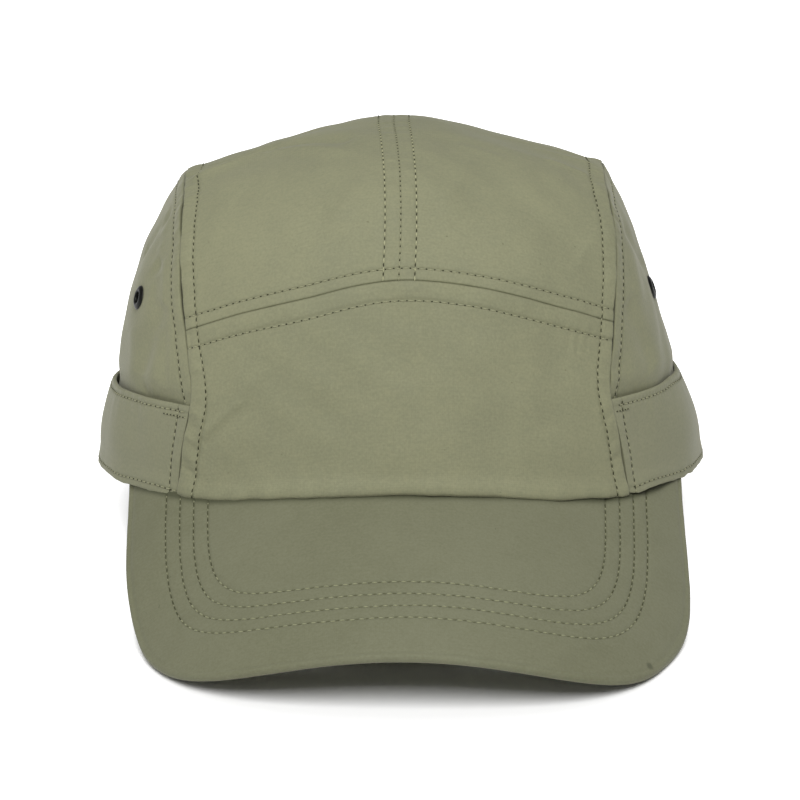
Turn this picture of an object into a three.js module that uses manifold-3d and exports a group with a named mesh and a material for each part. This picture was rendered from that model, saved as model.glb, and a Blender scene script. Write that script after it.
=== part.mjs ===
// A five panel cap in thin technical cloth, at rest on the two corners of its peak and the back
// of its rim. Units are millimetres, +Z is up and the front faces -Y.
//
// The crown is drawn upright in a frame of its own: x to the right, y to the back and z up from
// the rim. The group at the end tips the whole cap back until it rests.
//
// One strip of cloth runs from the front rim over the top to the back rim. The front panel and the
// two top panels are cut from it, and a side panel fills the half moon on each side. A place on the
// strip is given by along, the number of the row in ROWS, and by across, from -1 at the left side
// seam to 1 at the right one. A place on a side panel is given by along, the same number on its
// seam, and by up, from 0 at the rim to 1 at the seam.

import * as THREE from 'three';
import Module from 'manifold-3d';

const { clamp, degToRad, lerp, smoothstep } = THREE.MathUtils;

// Crown
const CROWN_WIDTH = 194;
const CROWN_LENGTH = 186;
const CROWN_HEIGHT = 111.5;
const SHOULDER_HEIGHT = 95.6;
const TOP_WIDTH = 134;
const CLOTH = 1.2;
const SEAM_GAP = 0.35;

// The seam between the top panels bows to the right in front
const CENTRE_OFFSET = 1.9;

// How worn cloth has settled: the top leans to the left and the right shoulder stands higher
const LEAN_OFFSET = 2.2;
const SHOULDER_ROLL = degToRad(1.1);

// A side that goes straight from rim to seam has a fullness of 0, a round one more
const LEFT_FULLNESS = 0.5;
const RIGHT_FULLNESS = 0.2;
const SHOULDER_POWER = 5;

// Peak, measured from the middle of the front rim, with its length along the cloth
const FRONT_ARCH = 4;
const PEAK_PITCH = degToRad(33);
const PEAK_RADIUS = 128;
const PEAK_WIDTH = 176.5;
const PEAK_LENGTH = 72.4;
const PEAK_THICKNESS = 3;
const PEAK_CORNER = 3.7;
const PEAK_TUCK = 5;
const PEAK_SHIFT = 2.4;
const PEAK_ROOT_HEIGHT = 3.6;
const PEAK_TWIST = 0.018;
const SIDE_ARCH = 2.1;

// Band of cloth round the sides and the back, sewn into the front side seams
const BAND_HEIGHT = 29.5;
const BAND_LIP = 1;
const BAND_STAND = 0.4;
const LEFT_BULGE = 1.8;
const RIGHT_BULGE = 2.6;
const BAND_EASE_HEIGHT = 8;

// Eyelets
const EYELET_HEIGHT_LEFT = 59.1;
const EYELET_HEIGHT_RIGHT = 58;
const EYELET_FORWARD_LEFT = 32.5;
const EYELET_FORWARD_RIGHT = 23;
const EYELET_DIAMETER = 7.8;
const EYELET_HOLE = 3.6;
const EYELET_WALL = 0.6;

// Rows of the strip from the front rim to the back rim, as shares: ridgeY of half the length,
// ridgeZ of the crown's height, seamX of half the top width, seamY of the rim's depth at that
// width and seamZ of the shoulder's height. A small roof is a sharp ridge, a large one is round.
const ROWS = [
  { ridgeY: -1.0, ridgeZ: 0, seamX: 1.075, seamY: -1.0, seamZ: 0, roof: 1.0 },
  { ridgeY: -0.99, ridgeZ: 0.205, seamX: 1.04, seamY: -1.0, seamZ: 0.165, roof: 1.0 },
  { ridgeY: -0.97, ridgeZ: 0.41, seamX: 0.99, seamY: -0.98, seamZ: 0.345, roof: 0.9 },
  { ridgeY: -0.925, ridgeZ: 0.635, seamX: 1.015, seamY: -0.92, seamZ: 0.55, roof: 0.65 },
  { ridgeY: -0.835, ridgeZ: 0.765, seamX: 1.035, seamY: -0.85, seamZ: 0.71, roof: 0.5 },
  { ridgeY: -0.685, ridgeZ: 0.88, seamX: 1.03, seamY: -0.7, seamZ: 0.85, roof: 0.4 },
  { ridgeY: -0.47, ridgeZ: 0.96, seamX: 1.01, seamY: -0.48, seamZ: 0.95, roof: 0.33 },
  { ridgeY: -0.17, ridgeZ: 1.0, seamX: 1.0, seamY: -0.15, seamZ: 1.0, roof: 0.3 },
  { ridgeY: 0.15, ridgeZ: 0.995, seamX: 1.0, seamY: 0.2, seamZ: 0.985, roof: 0.3 },
  { ridgeY: 0.47, ridgeZ: 0.925, seamX: 1.0, seamY: 0.53, seamZ: 0.91, roof: 0.33 },
  { ridgeY: 0.73, ridgeZ: 0.76, seamX: 1.0, seamY: 0.785, seamZ: 0.745, roof: 0.42 },
  { ridgeY: 0.9, ridgeZ: 0.52, seamX: 1.0, seamY: 0.93, seamZ: 0.51, roof: 0.6 },
  { ridgeY: 0.98, ridgeZ: 0.25, seamX: 1.01, seamY: 0.99, seamZ: 0.25, roof: 0.9 },
  { ridgeY: 1.0, ridgeZ: 0, seamX: 1.03, seamY: 1.0, seamZ: 0, roof: 1.0 },
];
const FRONT_SEAM = 3;
const TOP_ROW = 7;
const LAST_ROW = ROWS.length - 1;

// Folds that wear has left in the side panels. Width and depth are shares of the shoulder's
// height, and a fold with a depth below 0 is a ridge.
const FOLDS = [
  { side: -1, fromAlong: 6.0, fromUp: 0.94, toAlong: 6.3, toUp: 0.76, width: 0.035, depth: 0.009 },
  { side: -1, fromAlong: 4.9, fromUp: 0.9, toAlong: 4.9, toUp: 0.78, width: 0.03, depth: 0.009 },
  { side: -1, fromAlong: 3.9, fromUp: 0.9, toAlong: 3.6, toUp: 0.5, width: 0.05, depth: 0.011 },
  { side: 1, fromAlong: 5.5, fromUp: 0.92, toAlong: 5.9, toUp: 0.7, width: 0.04, depth: 0.009 },
  { side: 1, fromAlong: 3.8, fromUp: 0.9, toAlong: 3.7, toUp: 0.55, width: 0.05, depth: 0.01 },
];

const CLOTH_COLOUR = '#8e9073';
const PEAK_COLOUR = '#7f8169';
const EYELET_COLOUR = '#24251f';

const HALF_WIDTH = CROWN_WIDTH / 2;
const HALF_LENGTH = CROWN_LENGTH / 2;

// Finds where a function that rises from start to end reaches a target
function solve(value, target, start, end) {
  let low = start;
  let high = end;
  for (let step = 0; step < 40; step += 1) {
    const middle = (low + high) / 2;
    if (value(middle) < target) low = middle;
    else high = middle;
  }
  return (low + high) / 2;
}

// Crown surface

// A smooth curve through the rows, column by column
function rowAt(along) {
  const place = clamp(along, 0, LAST_ROW);
  const i = Math.min(Math.floor(place), LAST_ROW - 1);
  const f = place - i;
  const row = {};
  for (const column of Object.keys(ROWS[0])) {
    const here = ROWS[i][column];
    const next = ROWS[i + 1][column];
    const before = i > 0 ? ROWS[i - 1][column] : 2 * here - next;
    const after = i + 2 <= LAST_ROW ? ROWS[i + 2][column] : 2 * next - here;
    const slope = next - before;
    const bend = 2 * before - 5 * here + 4 * next - after;
    const twist = 3 * here - before - 3 * next + after;
    row[column] = here + 0.5 * (slope * f + bend * f ** 2 + twist * f ** 3);
  }
  return row;
}

// How far the rim lies from the middle, front to back, at a distance to the side
function rimDepth(x) {
  return HALF_LENGTH * Math.sqrt(1 - (x / HALF_WIDTH) ** 2);
}

// The right side seam
function seamPoint(along) {
  const row = rowAt(along);
  const x = (row.seamX * TOP_WIDTH) / 2;
  return new THREE.Vector3(x, row.seamY * rimDepth(x), row.seamZ * SHOULDER_HEIGHT);
}

function stripPoint(along, across) {
  const row = rowAt(along);
  const seam = seamPoint(along);
  const reach = seam.x / HALF_WIDTH;
  const drop = 1 - Math.sqrt(1 - (across * reach) ** 2);
  const round = drop / (1 - Math.sqrt(1 - reach ** 2));
  const roof = (Math.hypot(across, row.roof) - row.roof) / (Math.hypot(1, row.roof) - row.roof);
  return new THREE.Vector3(
    across * seam.x,
    lerp(row.ridgeY * HALF_LENGTH, seam.y, round),
    lerp(row.ridgeZ * CROWN_HEIGHT, seam.z, roof),
  );
}

// Angle round the rim from the front, for a point on the strip's or the side panel's foot
function rimAngle(point) {
  return Math.atan2(Math.abs(point.x) / HALF_WIDTH, -point.y / HALF_LENGTH);
}

const FIRST_ANGLE = rimAngle(seamPoint(0));
const LAST_ANGLE = rimAngle(seamPoint(LAST_ROW));

function sidePoint(side, along, up) {
  const seam = seamPoint(along);
  const share = along / LAST_ROW;
  const eased = share - (0.35 * Math.sin(2 * Math.PI * share)) / (2 * Math.PI);
  const angle = lerp(FIRST_ANGLE, LAST_ANGLE, eased);
  const fullness = side < 0 ? LEFT_FULLNESS : RIGHT_FULLNESS;
  const inward = lerp(up, up ** SHOULDER_POWER, fullness);
  return new THREE.Vector3(
    side * lerp(HALF_WIDTH * Math.sin(angle), seam.x, inward),
    lerp(-HALF_LENGTH * Math.cos(angle), seam.y, inward),
    seam.z * up,
  );
}

// One direction outwards for all pieces, so that neighbours meet in a mitre
function outward(point) {
  return new THREE.Vector3(
    (point.x * Math.abs(point.x)) / HALF_WIDTH ** 3,
    (point.y * Math.abs(point.y)) / HALF_LENGTH ** 3,
    Math.max(point.z, 0) ** 2 / CROWN_HEIGHT ** 3,
  ).normalize();
}

// Row number and share of the height where an eyelet sits on its side panel
function eyeletPlace(side) {
  const [rise, forwardPlace] = side < 0
    ? [EYELET_HEIGHT_LEFT, EYELET_FORWARD_LEFT]
    : [EYELET_HEIGHT_RIGHT, EYELET_FORWARD_RIGHT];
  const height = (along) => rise / seamPoint(along).z;
  const forward = (along) => sidePoint(side, along, height(along)).y;
  const lowest = solve((row) => seamPoint(row).z, rise * 1.05, 0, TOP_ROW);
  const along = solve(forward, -forwardPlace, lowest, TOP_ROW);
  return { along, up: height(along) };
}

const eyeletPoints = [-1, 1].map((side) => {
  const { along, up } = eyeletPlace(side);
  return sidePoint(side, along, up);
});

const foldLines = FOLDS.map((fold) => ({
  start: sidePoint(fold.side, fold.fromAlong, fold.fromUp),
  end: sidePoint(fold.side, fold.toAlong, fold.toUp),
  width: fold.width * SHOULDER_HEIGHT,
  depth: fold.depth * SHOULDER_HEIGHT,
}));

// How deep the folds are at a point of the crown, measured along the cloth. An eyelet holds the
// cloth round it flat.
function foldDepth(point, normal) {
  let depth = 0;
  for (const { start, end, width, depth: deepest } of foldLines) {
    const nearest = new THREE.Line3(start, end).closestPointToPoint(point, true, new THREE.Vector3());
    const away = point.clone().sub(nearest);
    away.addScaledVector(normal, -away.dot(normal));
    depth += deepest * Math.exp(-away.lengthSq() / width ** 2);
  }
  const fromEyelet = Math.min(...eyeletPoints.map((eyelet) => eyelet.distanceTo(point)));
  return depth * smoothstep(fromEyelet, EYELET_DIAMETER * 0.6, EYELET_DIAMETER * 1.4);
}

// Peak surface

const peakReach = PEAK_RADIUS * Math.asin(PEAK_WIDTH / 2 / PEAK_RADIUS);

// The root of the peak is flatter than its front edge and twisted a little, which lifts it
function rootLift(lateral, forward) {
  const wing = smoothstep(Math.abs(lateral) / peakReach, 0.62, 0.98);
  const fade = 1 - smoothstep(forward, 0, PEAK_LENGTH * 0.6);
  return (PEAK_ROOT_HEIGHT * wing - PEAK_TWIST * lateral) * fade;
}

// Height of the top of the peak over a point of the rim's plane
function peakHeight(x, y) {
  const sideways = clamp(x - PEAK_SHIFT, -PEAK_RADIUS, PEAK_RADIUS);
  const drop = PEAK_RADIUS - Math.sqrt(PEAK_RADIUS ** 2 - sideways ** 2);
  const plain = (y + HALF_LENGTH) * Math.tan(PEAK_PITCH) - drop / Math.cos(PEAK_PITCH);
  return FRONT_ARCH + plain + rootLift(PEAK_RADIUS * Math.asin(sideways / PEAK_RADIUS), 0);
}

// A point of the peak: lateral is measured round its curve, forward down its slope from the
// front of the rim, and depth down into its thickness
function peakPoint(lateral, forward, depth) {
  const angle = lateral / PEAK_RADIUS;
  const radius = PEAK_RADIUS - depth;
  const drop = PEAK_RADIUS - radius * Math.cos(angle);
  const cos = Math.cos(PEAK_PITCH);
  const sin = Math.sin(PEAK_PITCH);
  return new THREE.Vector3(
    PEAK_SHIFT + radius * Math.sin(angle),
    -HALF_LENGTH - forward * cos + drop * sin,
    FRONT_ARCH - forward * sin - drop * cos + rootLift(lateral, forward),
  );
}

// Where a side of the peak ends, round the rim from the front
function wingAngle(side) {
  return Math.asin(Math.min((PEAK_WIDTH / 2 + side * PEAK_SHIFT) / HALF_WIDTH, 0.99));
}

// Lift of the rim where it rides up on the peak, and behind that where the sides arch up off
// whatever the cap lies on. The bottom of the walls is bevelled to the peak's slope, and higher
// up the cloth takes the lift of the rim's outer edge.
function rimLift(point) {
  const side = point.x < 0 ? -1 : 1;
  const angle = rimAngle(point);
  const wing = wingAngle(side);
  const reach = Math.hypot(point.x / HALF_WIDTH, point.y / HALF_LENGTH);
  const walls = 1 - (3 * CLOTH) / HALF_LENGTH;
  const slope = lerp(Math.max(reach, walls), 1, smoothstep(point.z, 0, BAND_HEIGHT / 4));
  const seatAngle = Math.min(angle, wing);
  const seatX = side * HALF_WIDTH * Math.sin(seatAngle) * slope;
  const seat = peakHeight(seatX, -HALF_LENGTH * Math.cos(seatAngle) * slope);
  const overPeak = seat + SEAM_GAP / Math.cos(PEAK_PITCH);
  const behind = smoothstep(angle, wing + degToRad(1), wing + degToRad(14));
  const arch = lerp(overPeak, SIDE_ARCH, behind) * (1 - smoothstep(angle, degToRad(95), degToRad(160)));
  return arch * (1 - smoothstep(point.z, 0, SHOULDER_HEIGHT * 0.6));
}

// Settled place of a point of the crown: the rim rides up on the peak in front, the top leans
// and the right shoulder stands higher
function settle(point) {
  const roll = point.x * SHOULDER_ROLL * smoothstep(point.z, 0, SHOULDER_HEIGHT * 0.4);
  return new THREE.Vector3(
    point.x - (LEAN_OFFSET * point.z) / CROWN_HEIGHT,
    point.y,
    point.z + rimLift(point) + roll,
  );
}

// A point of the crown at a depth outside or inside its surface
function crownPoint(point, depth) {
  const normal = outward(point);
  return settle(point.clone().addScaledVector(normal, depth - foldDepth(point, normal)));
}

// The cloth of the sides and the back steps in under the band
function recess(point) {
  return -(CLOTH + SEAM_GAP) * (1 - smoothstep(point.z, BAND_HEIGHT, BAND_HEIGHT + BAND_EASE_HEIGHT));
}

// Meshes

// A closed sheet between two faces. point(u, v, layer) gives a corner of it, with u and v from
// 0 to 1 and layer 1 outside and 0 inside.
function sheet(columns, rows, point) {
  const positions = [];
  for (const layer of [1, 0]) {
    for (let j = 0; j <= rows; j += 1) {
      for (let i = 0; i <= columns; i += 1) positions.push(point(i / columns, j / rows, layer));
    }
  }
  const corner = (i, j, layer) => (1 - layer) * (columns + 1) * (rows + 1) + j * (columns + 1) + i;
  const triangles = [];
  const quad = (a, b, c, d) => {
    const short = positions[a].distanceTo(positions[c]) < positions[b].distanceTo(positions[d]);
    if (short) triangles.push(a, b, c, a, c, d);
    else triangles.push(a, b, d, b, c, d);
  };
  for (let j = 0; j < rows; j += 1) {
    for (let i = 0; i < columns; i += 1) {
      quad(corner(i, j, 1), corner(i + 1, j, 1), corner(i + 1, j + 1, 1), corner(i, j + 1, 1));
      quad(corner(i, j, 0), corner(i, j + 1, 0), corner(i + 1, j + 1, 0), corner(i + 1, j, 0));
    }
  }
  for (let i = 0; i < columns; i += 1) {
    quad(corner(i, 0, 0), corner(i + 1, 0, 0), corner(i + 1, 0, 1), corner(i, 0, 1));
    quad(corner(i, rows, 1), corner(i + 1, rows, 1), corner(i + 1, rows, 0), corner(i, rows, 0));
  }
  for (let j = 0; j < rows; j += 1) {
    quad(corner(0, j, 1), corner(0, j + 1, 1), corner(0, j + 1, 0), corner(0, j, 0));
    quad(corner(columns, j, 0), corner(columns, j + 1, 0), corner(columns, j + 1, 1), corner(columns, j, 1));
  }
  return solidGeometry(positions, triangles);
}

// An indexed geometry whose faces point outwards
function solidGeometry(positions, triangles) {
  let volume = 0;
  for (let k = 0; k < triangles.length; k += 3) {
    const [a, b, c] = [0, 1, 2].map((n) => positions[triangles[k + n]]);
    volume += a.dot(b.clone().cross(c));
  }
  const index = volume < 0 ? triangles.toReversed() : triangles;
  const geometry = new THREE.BufferGeometry().setFromPoints(positions);
  geometry.setIndex(index);
  geometry.computeVertexNormals();
  return geometry;
}

function piece(name, geometry, colour, metalness = 0) {
  const material = new THREE.MeshStandardMaterial({ color: colour, roughness: 0.85, metalness });
  const mesh = new THREE.Mesh(geometry, material);
  mesh.name = name;
  return mesh;
}

// Crown panels

// Steps of each panel's mesh, across its cloth and along it
const FRONT_STEPS = [24, 13];
const TOP_STEPS = [10, 25];
const SIDE_STEPS = [28, 15];
const BAND_STEPS = { side: 20, back: 14, up: 6, fade: 3, bulge: 7 };

const halfGap = SEAM_GAP / 2;
const stripEdge = (along) => 1 - halfGap / seamPoint(along).x;
const rowLength = stripPoint(FRONT_SEAM - 0.5, 0).distanceTo(stripPoint(FRONT_SEAM + 0.5, 0));
const rowGap = halfGap / rowLength;

function frontPanel() {
  return sheet(...FRONT_STEPS, (u, v, layer) => {
    const along = v * (FRONT_SEAM - rowGap);
    const across = lerp(-1, 1, u) * stripEdge(along);
    return crownPoint(stripPoint(along, across), (layer - 1) * CLOTH);
  });
}

function topPanel(side) {
  return sheet(...TOP_STEPS, (u, v, layer) => {
    const along = lerp(FRONT_SEAM + rowGap, LAST_ROW, v);
    const bowed = clamp((along - FRONT_SEAM + 0.7) / (TOP_ROW - FRONT_SEAM + 0.7), 0, 1);
    const centre = CENTRE_OFFSET * Math.sin(Math.PI * bowed) + side * halfGap;
    const across = lerp(centre / seamPoint(along).x, side * stripEdge(along), u);
    const point = stripPoint(along, across);
    return crownPoint(point, recess(point) + (layer - 1) * CLOTH);
  });
}

function sidePanel(side) {
  const height = (along) => sidePoint(side, along, 0).distanceTo(sidePoint(side, along, 1));
  const cornerCut = CLOTH;
  const first = solve(height, cornerCut, 0, 1);
  const last = LAST_ROW - solve((back) => height(LAST_ROW - back), cornerCut, 0, 1);
  return sheet(...SIDE_STEPS, (u, v, layer) => {
    const along = lerp(first, last, u);
    const up = v * (1 - halfGap / height(along));
    const point = sidePoint(side, along, up);
    return crownPoint(point, recess(point) + (layer - 1) * CLOTH);
  });
}

// Band

// A point of the crown at a height over the rim. Part 0 is the left side from front to back,
// part 1 the back from left to right and part 2 the right side from back to front.
function bandPoint(part, share, height) {
  const risen = Math.max(height, 0.01);
  if (part === 1) {
    const across = lerp(-1, 1, share);
    const along = solve((row) => -stripPoint(row, across).z, -risen, TOP_ROW, LAST_ROW);
    return stripPoint(along, across);
  }
  const front = solve((row) => seamPoint(row).z, risen, 0, TOP_ROW);
  const back = solve((row) => -seamPoint(row).z, -risen, TOP_ROW, LAST_ROW);
  const along = part === 0 ? lerp(front, back, share) : lerp(back, front, share);
  return sidePoint(part === 0 ? -1 : 1, along, clamp(risen / seamPoint(along).z, 0, 1));
}

function sideBand() {
  const parts = [BAND_STEPS.side, BAND_STEPS.back, BAND_STEPS.side];
  const stations = [];
  parts.forEach((steps, part) => {
    const first = part === 0 ? 0 : 1;
    for (let i = first; i <= steps; i += 1) stations.push([part, i / steps]);
  });
  const end = stations.length - 1;
  const sideLength = (Math.PI * (HALF_WIDTH + HALF_LENGTH)) / 4;
  return sheet(end, BAND_STEPS.up, (u, v, layer) => {
    const i = Math.round(u * end);
    const [part, share] = stations[i];
    const inset = i === 0 ? halfGap / sideLength : 0;
    const outset = i === end ? halfGap / sideLength : 0;
    const point = bandPoint(part, share + inset - outset, v * BAND_HEIGHT);
    const fromSeam = smoothstep(Math.min(i, end - i), 0, BAND_STEPS.fade);
    const lip = BAND_LIP * (1 - smoothstep(v, 0, 0.25));
    const stand = BAND_STAND * smoothstep(v, 0.6, 1);
    const slack = smoothstep(Math.min(i, end - i), 0, BAND_STEPS.bulge);
    const fullest = lerp(LEFT_BULGE, RIGHT_BULGE, smoothstep(u, 0.3, 0.7));
    const bulge = fullest * Math.sin(Math.PI * v) * slack;
    return crownPoint(point, (lip + stand) * fromSeam + bulge + (layer - 1) * CLOTH);
  });
}

// Peak

// How far forward, down the peak's slope, an ellipse inside the rim lies
function rimForward(lateral, inside) {
  const angle = lateral / PEAK_RADIUS;
  const x = PEAK_SHIFT + PEAK_RADIUS * Math.sin(angle);
  const share = clamp(x / (HALF_WIDTH - inside), -1, 1);
  const y = -(HALF_LENGTH - inside) * Math.sqrt(1 - share ** 2);
  const drop = PEAK_RADIUS * (1 - Math.cos(angle));
  return (drop * Math.sin(PEAK_PITCH) - HALF_LENGTH - y) / Math.cos(PEAK_PITCH);
}

// The outline is a superellipse that starts and ends where the peak's sides meet the rim
function peakOutline(angle) {
  const cos = Math.cos(angle);
  const power = 2 / PEAK_CORNER;
  const lateral = peakReach * Math.sign(cos) * Math.abs(cos) ** power;
  const base = rimForward(Math.sign(cos) * peakReach, 0);
  return new THREE.Vector2(lateral, lerp(base, PEAK_LENGTH, Math.sin(angle) ** power));
}

// Points spread evenly along the outline
function evenOutline(steps) {
  const fine = [];
  for (let k = 0; k <= 720; k += 1) fine.push(peakOutline(Math.PI * (1 - k / 720)));
  const length = [0];
  for (let k = 1; k < fine.length; k += 1) length.push(length[k - 1] + fine[k].distanceTo(fine[k - 1]));
  const points = [];
  for (let i = 0; i <= steps; i += 1) {
    const target = (i / steps) * length.at(-1);
    const next = Math.max(length.findIndex((sum) => sum >= target), 1);
    const part = (target - length[next - 1]) / (length[next] - length[next - 1]);
    points.push(fine[next - 1].clone().lerp(fine[next], part));
  }
  return points;
}

function peak() {
  const columns = 46;
  const rows = 7;
  const outline = evenOutline(columns);
  const round = PEAK_THICKNESS * 0.4;
  const innerReach = peakReach - PEAK_TUCK - CLOTH;
  const positions = [];
  const corners = [];
  for (let i = 0; i <= columns; i += 1) {
    const outer = outline[i];
    const lateral = lerp(-innerReach, innerReach, i / columns);
    const inner = new THREE.Vector2(lateral, rimForward(lateral, PEAK_TUCK));
    const span = outer.distanceTo(inner);
    const ring = [];
    const put = (share, depth) => {
      const place = inner.clone().lerp(outer, share);
      ring.push(positions.push(peakPoint(place.x, place.y, depth)) - 1);
    };
    for (let j = 0; j <= rows; j += 1) put((j / rows) * (1 - round / span), 0);
    put(1, round);
    put(1, PEAK_THICKNESS - round);
    for (let j = rows; j >= 0; j -= 1) put((j / rows) * (1 - round / span), PEAK_THICKNESS);
    corners.push(ring);
  }
  const triangles = [];
  const around = corners[0].length;
  for (let i = 0; i < columns; i += 1) {
    for (let j = 0; j < around; j += 1) {
      const k = (j + 1) % around;
      triangles.push(corners[i][j], corners[i + 1][j], corners[i + 1][k]);
      triangles.push(corners[i][j], corners[i + 1][k], corners[i][k]);
    }
  }
  const layers = around - 1;
  for (let j = 0; j < around / 2 - 1; j += 1) {
    const [first, last] = [corners[0], corners[columns]];
    triangles.push(first[j], first[j + 1], first[layers - j - 1]);
    triangles.push(first[j], first[layers - j - 1], first[layers - j]);
    triangles.push(last[j + 1], last[j], last[layers - j - 1]);
    triangles.push(last[layers - j - 1], last[j], last[layers - j]);
  }
  return solidGeometry(positions, triangles);
}

// Eyelets

// Place of an eyelet on the outside of its side panel, with the cloth's own normal there
function eyeletSeat(side) {
  const { along, up } = eyeletPlace(side);
  const near = (stepAlong, stepUp) => crownPoint(sidePoint(side, along + stepAlong, up + stepUp), 0);
  const position = near(0, 0);
  const alongCloth = near(0.05, 0).sub(near(-0.05, 0));
  const upCloth = near(0, 0.01).sub(near(0, -0.01));
  const normal = alongCloth.cross(upCloth).normalize();
  if (normal.x * side < 0) normal.negate();
  return { position, normal };
}

// A turned ring: a short barrel through the cloth, with a flange on each face of it
function eyelet() {
  const bore = EYELET_HOLE / 2;
  const barrel = bore + EYELET_WALL;
  const rim = EYELET_DIAMETER / 2;
  const outer = halfGap * 2;
  const inner = -CLOTH - outer;
  const high = outer + EYELET_WALL;
  const low = inner - EYELET_WALL;
  const bevel = EYELET_WALL / 2;
  const outline = [
    [bore, low], [rim - bevel, low], [rim, inner], [barrel, inner],
    [barrel, outer], [rim, outer], [rim - bevel, high], [bore + bevel, high],
    [bore, high - bevel], [bore, low],
  ];
  return new THREE.LatheGeometry(outline.map(([x, y]) => new THREE.Vector2(x, y)), 24);
}

const wasm = await Module();
wasm.setup();

// The side panel with a round hole where its eyelet passes
function pierced(geometry, seat) {
  const mesh = new wasm.Mesh({
    numProp: 3,
    vertProperties: new Float32Array(geometry.attributes.position.array),
    triVerts: new Uint32Array(geometry.index.array),
  });
  const radius = EYELET_HOLE / 2 + EYELET_WALL + SEAM_GAP;
  const turn = new THREE.Quaternion().setFromUnitVectors(new THREE.Vector3(0, 0, 1), seat.normal);
  const place = new THREE.Matrix4().compose(seat.position, turn, new THREE.Vector3(1, 1, 1));
  const drill = wasm.Manifold.cylinder(CLOTH * 8, radius, radius, 24, true).transform(place.elements);
  const cut = new wasm.Manifold(mesh).subtract(drill).getMesh();
  const result = new THREE.BufferGeometry();
  result.setAttribute('position', new THREE.BufferAttribute(cut.vertProperties, cut.numProp));
  result.setIndex(new THREE.BufferAttribute(cut.triVerts, 1));
  result.computeVertexNormals();
  return result;
}

// Assembly

const cap = new THREE.Group();
cap.add(piece('front_panel', frontPanel(), CLOTH_COLOUR));
for (const [side, name] of [[-1, 'left'], [1, 'right']]) {
  const seat = eyeletSeat(side);
  cap.add(piece(`top_panel_${name}`, topPanel(side), CLOTH_COLOUR));
  cap.add(piece(`side_panel_${name}`, pierced(sidePanel(side), seat), CLOTH_COLOUR));
  const ring = piece(`eyelet_${name}`, eyelet(), EYELET_COLOUR, 0.6);
  ring.position.copy(seat.position);
  ring.quaternion.setFromUnitVectors(new THREE.Vector3(0, 1, 0), seat.normal);
  cap.add(ring);
}
cap.add(piece('side_band', sideBand(), CLOTH_COLOUR));
cap.add(piece('peak', peak(), PEAK_COLOUR));

// Lowest point of a piece once the cap is tipped back
function lowest(name, tilt) {
  const array = cap.getObjectByName(name).geometry.attributes.position.array;
  let least = Infinity;
  for (let k = 0; k < array.length; k += 3) {
    least = Math.min(least, array[k + 2] * Math.cos(tilt) - array[k + 1] * Math.sin(tilt));
  }
  return least;
}

// The cap rests where the corners of its peak and the back of its band are level
const restTilt = solve((tilt) => lowest('peak', tilt) - lowest('side_band', tilt), 0, 0, Math.PI / 6);
cap.rotation.x = -restTilt;
cap.updateMatrixWorld(true);

const whole = new THREE.Box3().setFromObject(cap, true);
const centre = whole.getCenter(new THREE.Vector3());
cap.position.set(-centre.x, -centre.y, -whole.min.z);

const group = new THREE.Group();
group.add(cap);
export default group;
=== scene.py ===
# %% [markdown]
# # A five panel cap in thin technical cloth
# The cap is sewn from a front panel, two top panels, two side panels, a band round the sides
# and the back, and a stitched peak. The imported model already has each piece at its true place,
# so this lesson dresses it: every piece is made again with its seams, rows of stitches, puckers
# and creases, on the same form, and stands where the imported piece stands.

# %% Load the frame
import math
import bpy
import numpy as np
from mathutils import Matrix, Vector
from mathutils.kdtree import KDTree


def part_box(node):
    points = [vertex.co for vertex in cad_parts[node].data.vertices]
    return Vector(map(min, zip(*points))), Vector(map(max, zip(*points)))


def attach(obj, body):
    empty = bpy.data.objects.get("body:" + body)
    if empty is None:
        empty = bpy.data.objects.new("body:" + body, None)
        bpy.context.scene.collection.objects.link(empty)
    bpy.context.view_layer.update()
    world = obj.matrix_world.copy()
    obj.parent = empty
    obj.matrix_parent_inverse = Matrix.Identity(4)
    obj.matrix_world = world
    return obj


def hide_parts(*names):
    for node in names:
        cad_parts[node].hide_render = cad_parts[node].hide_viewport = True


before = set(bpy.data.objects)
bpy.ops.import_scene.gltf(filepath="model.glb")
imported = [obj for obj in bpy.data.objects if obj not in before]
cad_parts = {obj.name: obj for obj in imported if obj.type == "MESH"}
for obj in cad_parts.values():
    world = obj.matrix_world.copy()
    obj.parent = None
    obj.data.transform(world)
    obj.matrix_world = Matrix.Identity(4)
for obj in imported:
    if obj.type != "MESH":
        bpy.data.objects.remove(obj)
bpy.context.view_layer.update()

bpy.ops.object.select_all(action="DESELECT")

# %% [markdown]
# ## The form of the cap
# A cap has no straight lines to start from, so its form is written down once and every piece
# is laid on it. One strip of cloth runs from the front rim over the top to the back rim. The
# front panel and the two top panels are cut from it, and a side panel fills the half moon on
# each side. A place on the strip is a row number, along, and a share of the width, across. A
# place on a side panel is the same row number and a share of the height, up. All of these
# lengths are millimetres in an upright frame that belongs to the crown, and the last step tips
# the cap back to where it rests and turns millimetres into metres.

# %% Sizes of the crown, the peak and the band, in millimetres
CROWN_WIDTH, CROWN_LENGTH, CROWN_HEIGHT = 194.0, 186.0, 111.5
SHOULDER_HEIGHT, TOP_WIDTH, CLOTH = 95.6, 134.0, 1.2
LEAN_OFFSET, SHOULDER_ROLL, CENTRE_OFFSET = 2.2, math.radians(1.1), 1.9
LEFT_FULLNESS, RIGHT_FULLNESS, SHOULDER_POWER = 0.5, 0.2, 5
FRONT_ARCH, PEAK_PITCH, PEAK_RADIUS = 4.0, math.radians(33), 128.0
PEAK_WIDTH, PEAK_LENGTH, PEAK_THICKNESS = 176.5, 71.3, 3.0
PEAK_CORNER, PEAK_TUCK, PEAK_SHIFT = 3.7, 5.0, 2.4
PEAK_ROOT_HEIGHT, PEAK_TWIST, RIGHT_WING_DROP = 3.6, 0.018, 1.1
PEAK_SPREAD_LEFT, PEAK_SPREAD_RIGHT, ROOT_SPREAD_RIGHT = 1.3, 0.9, 0.7
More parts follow.
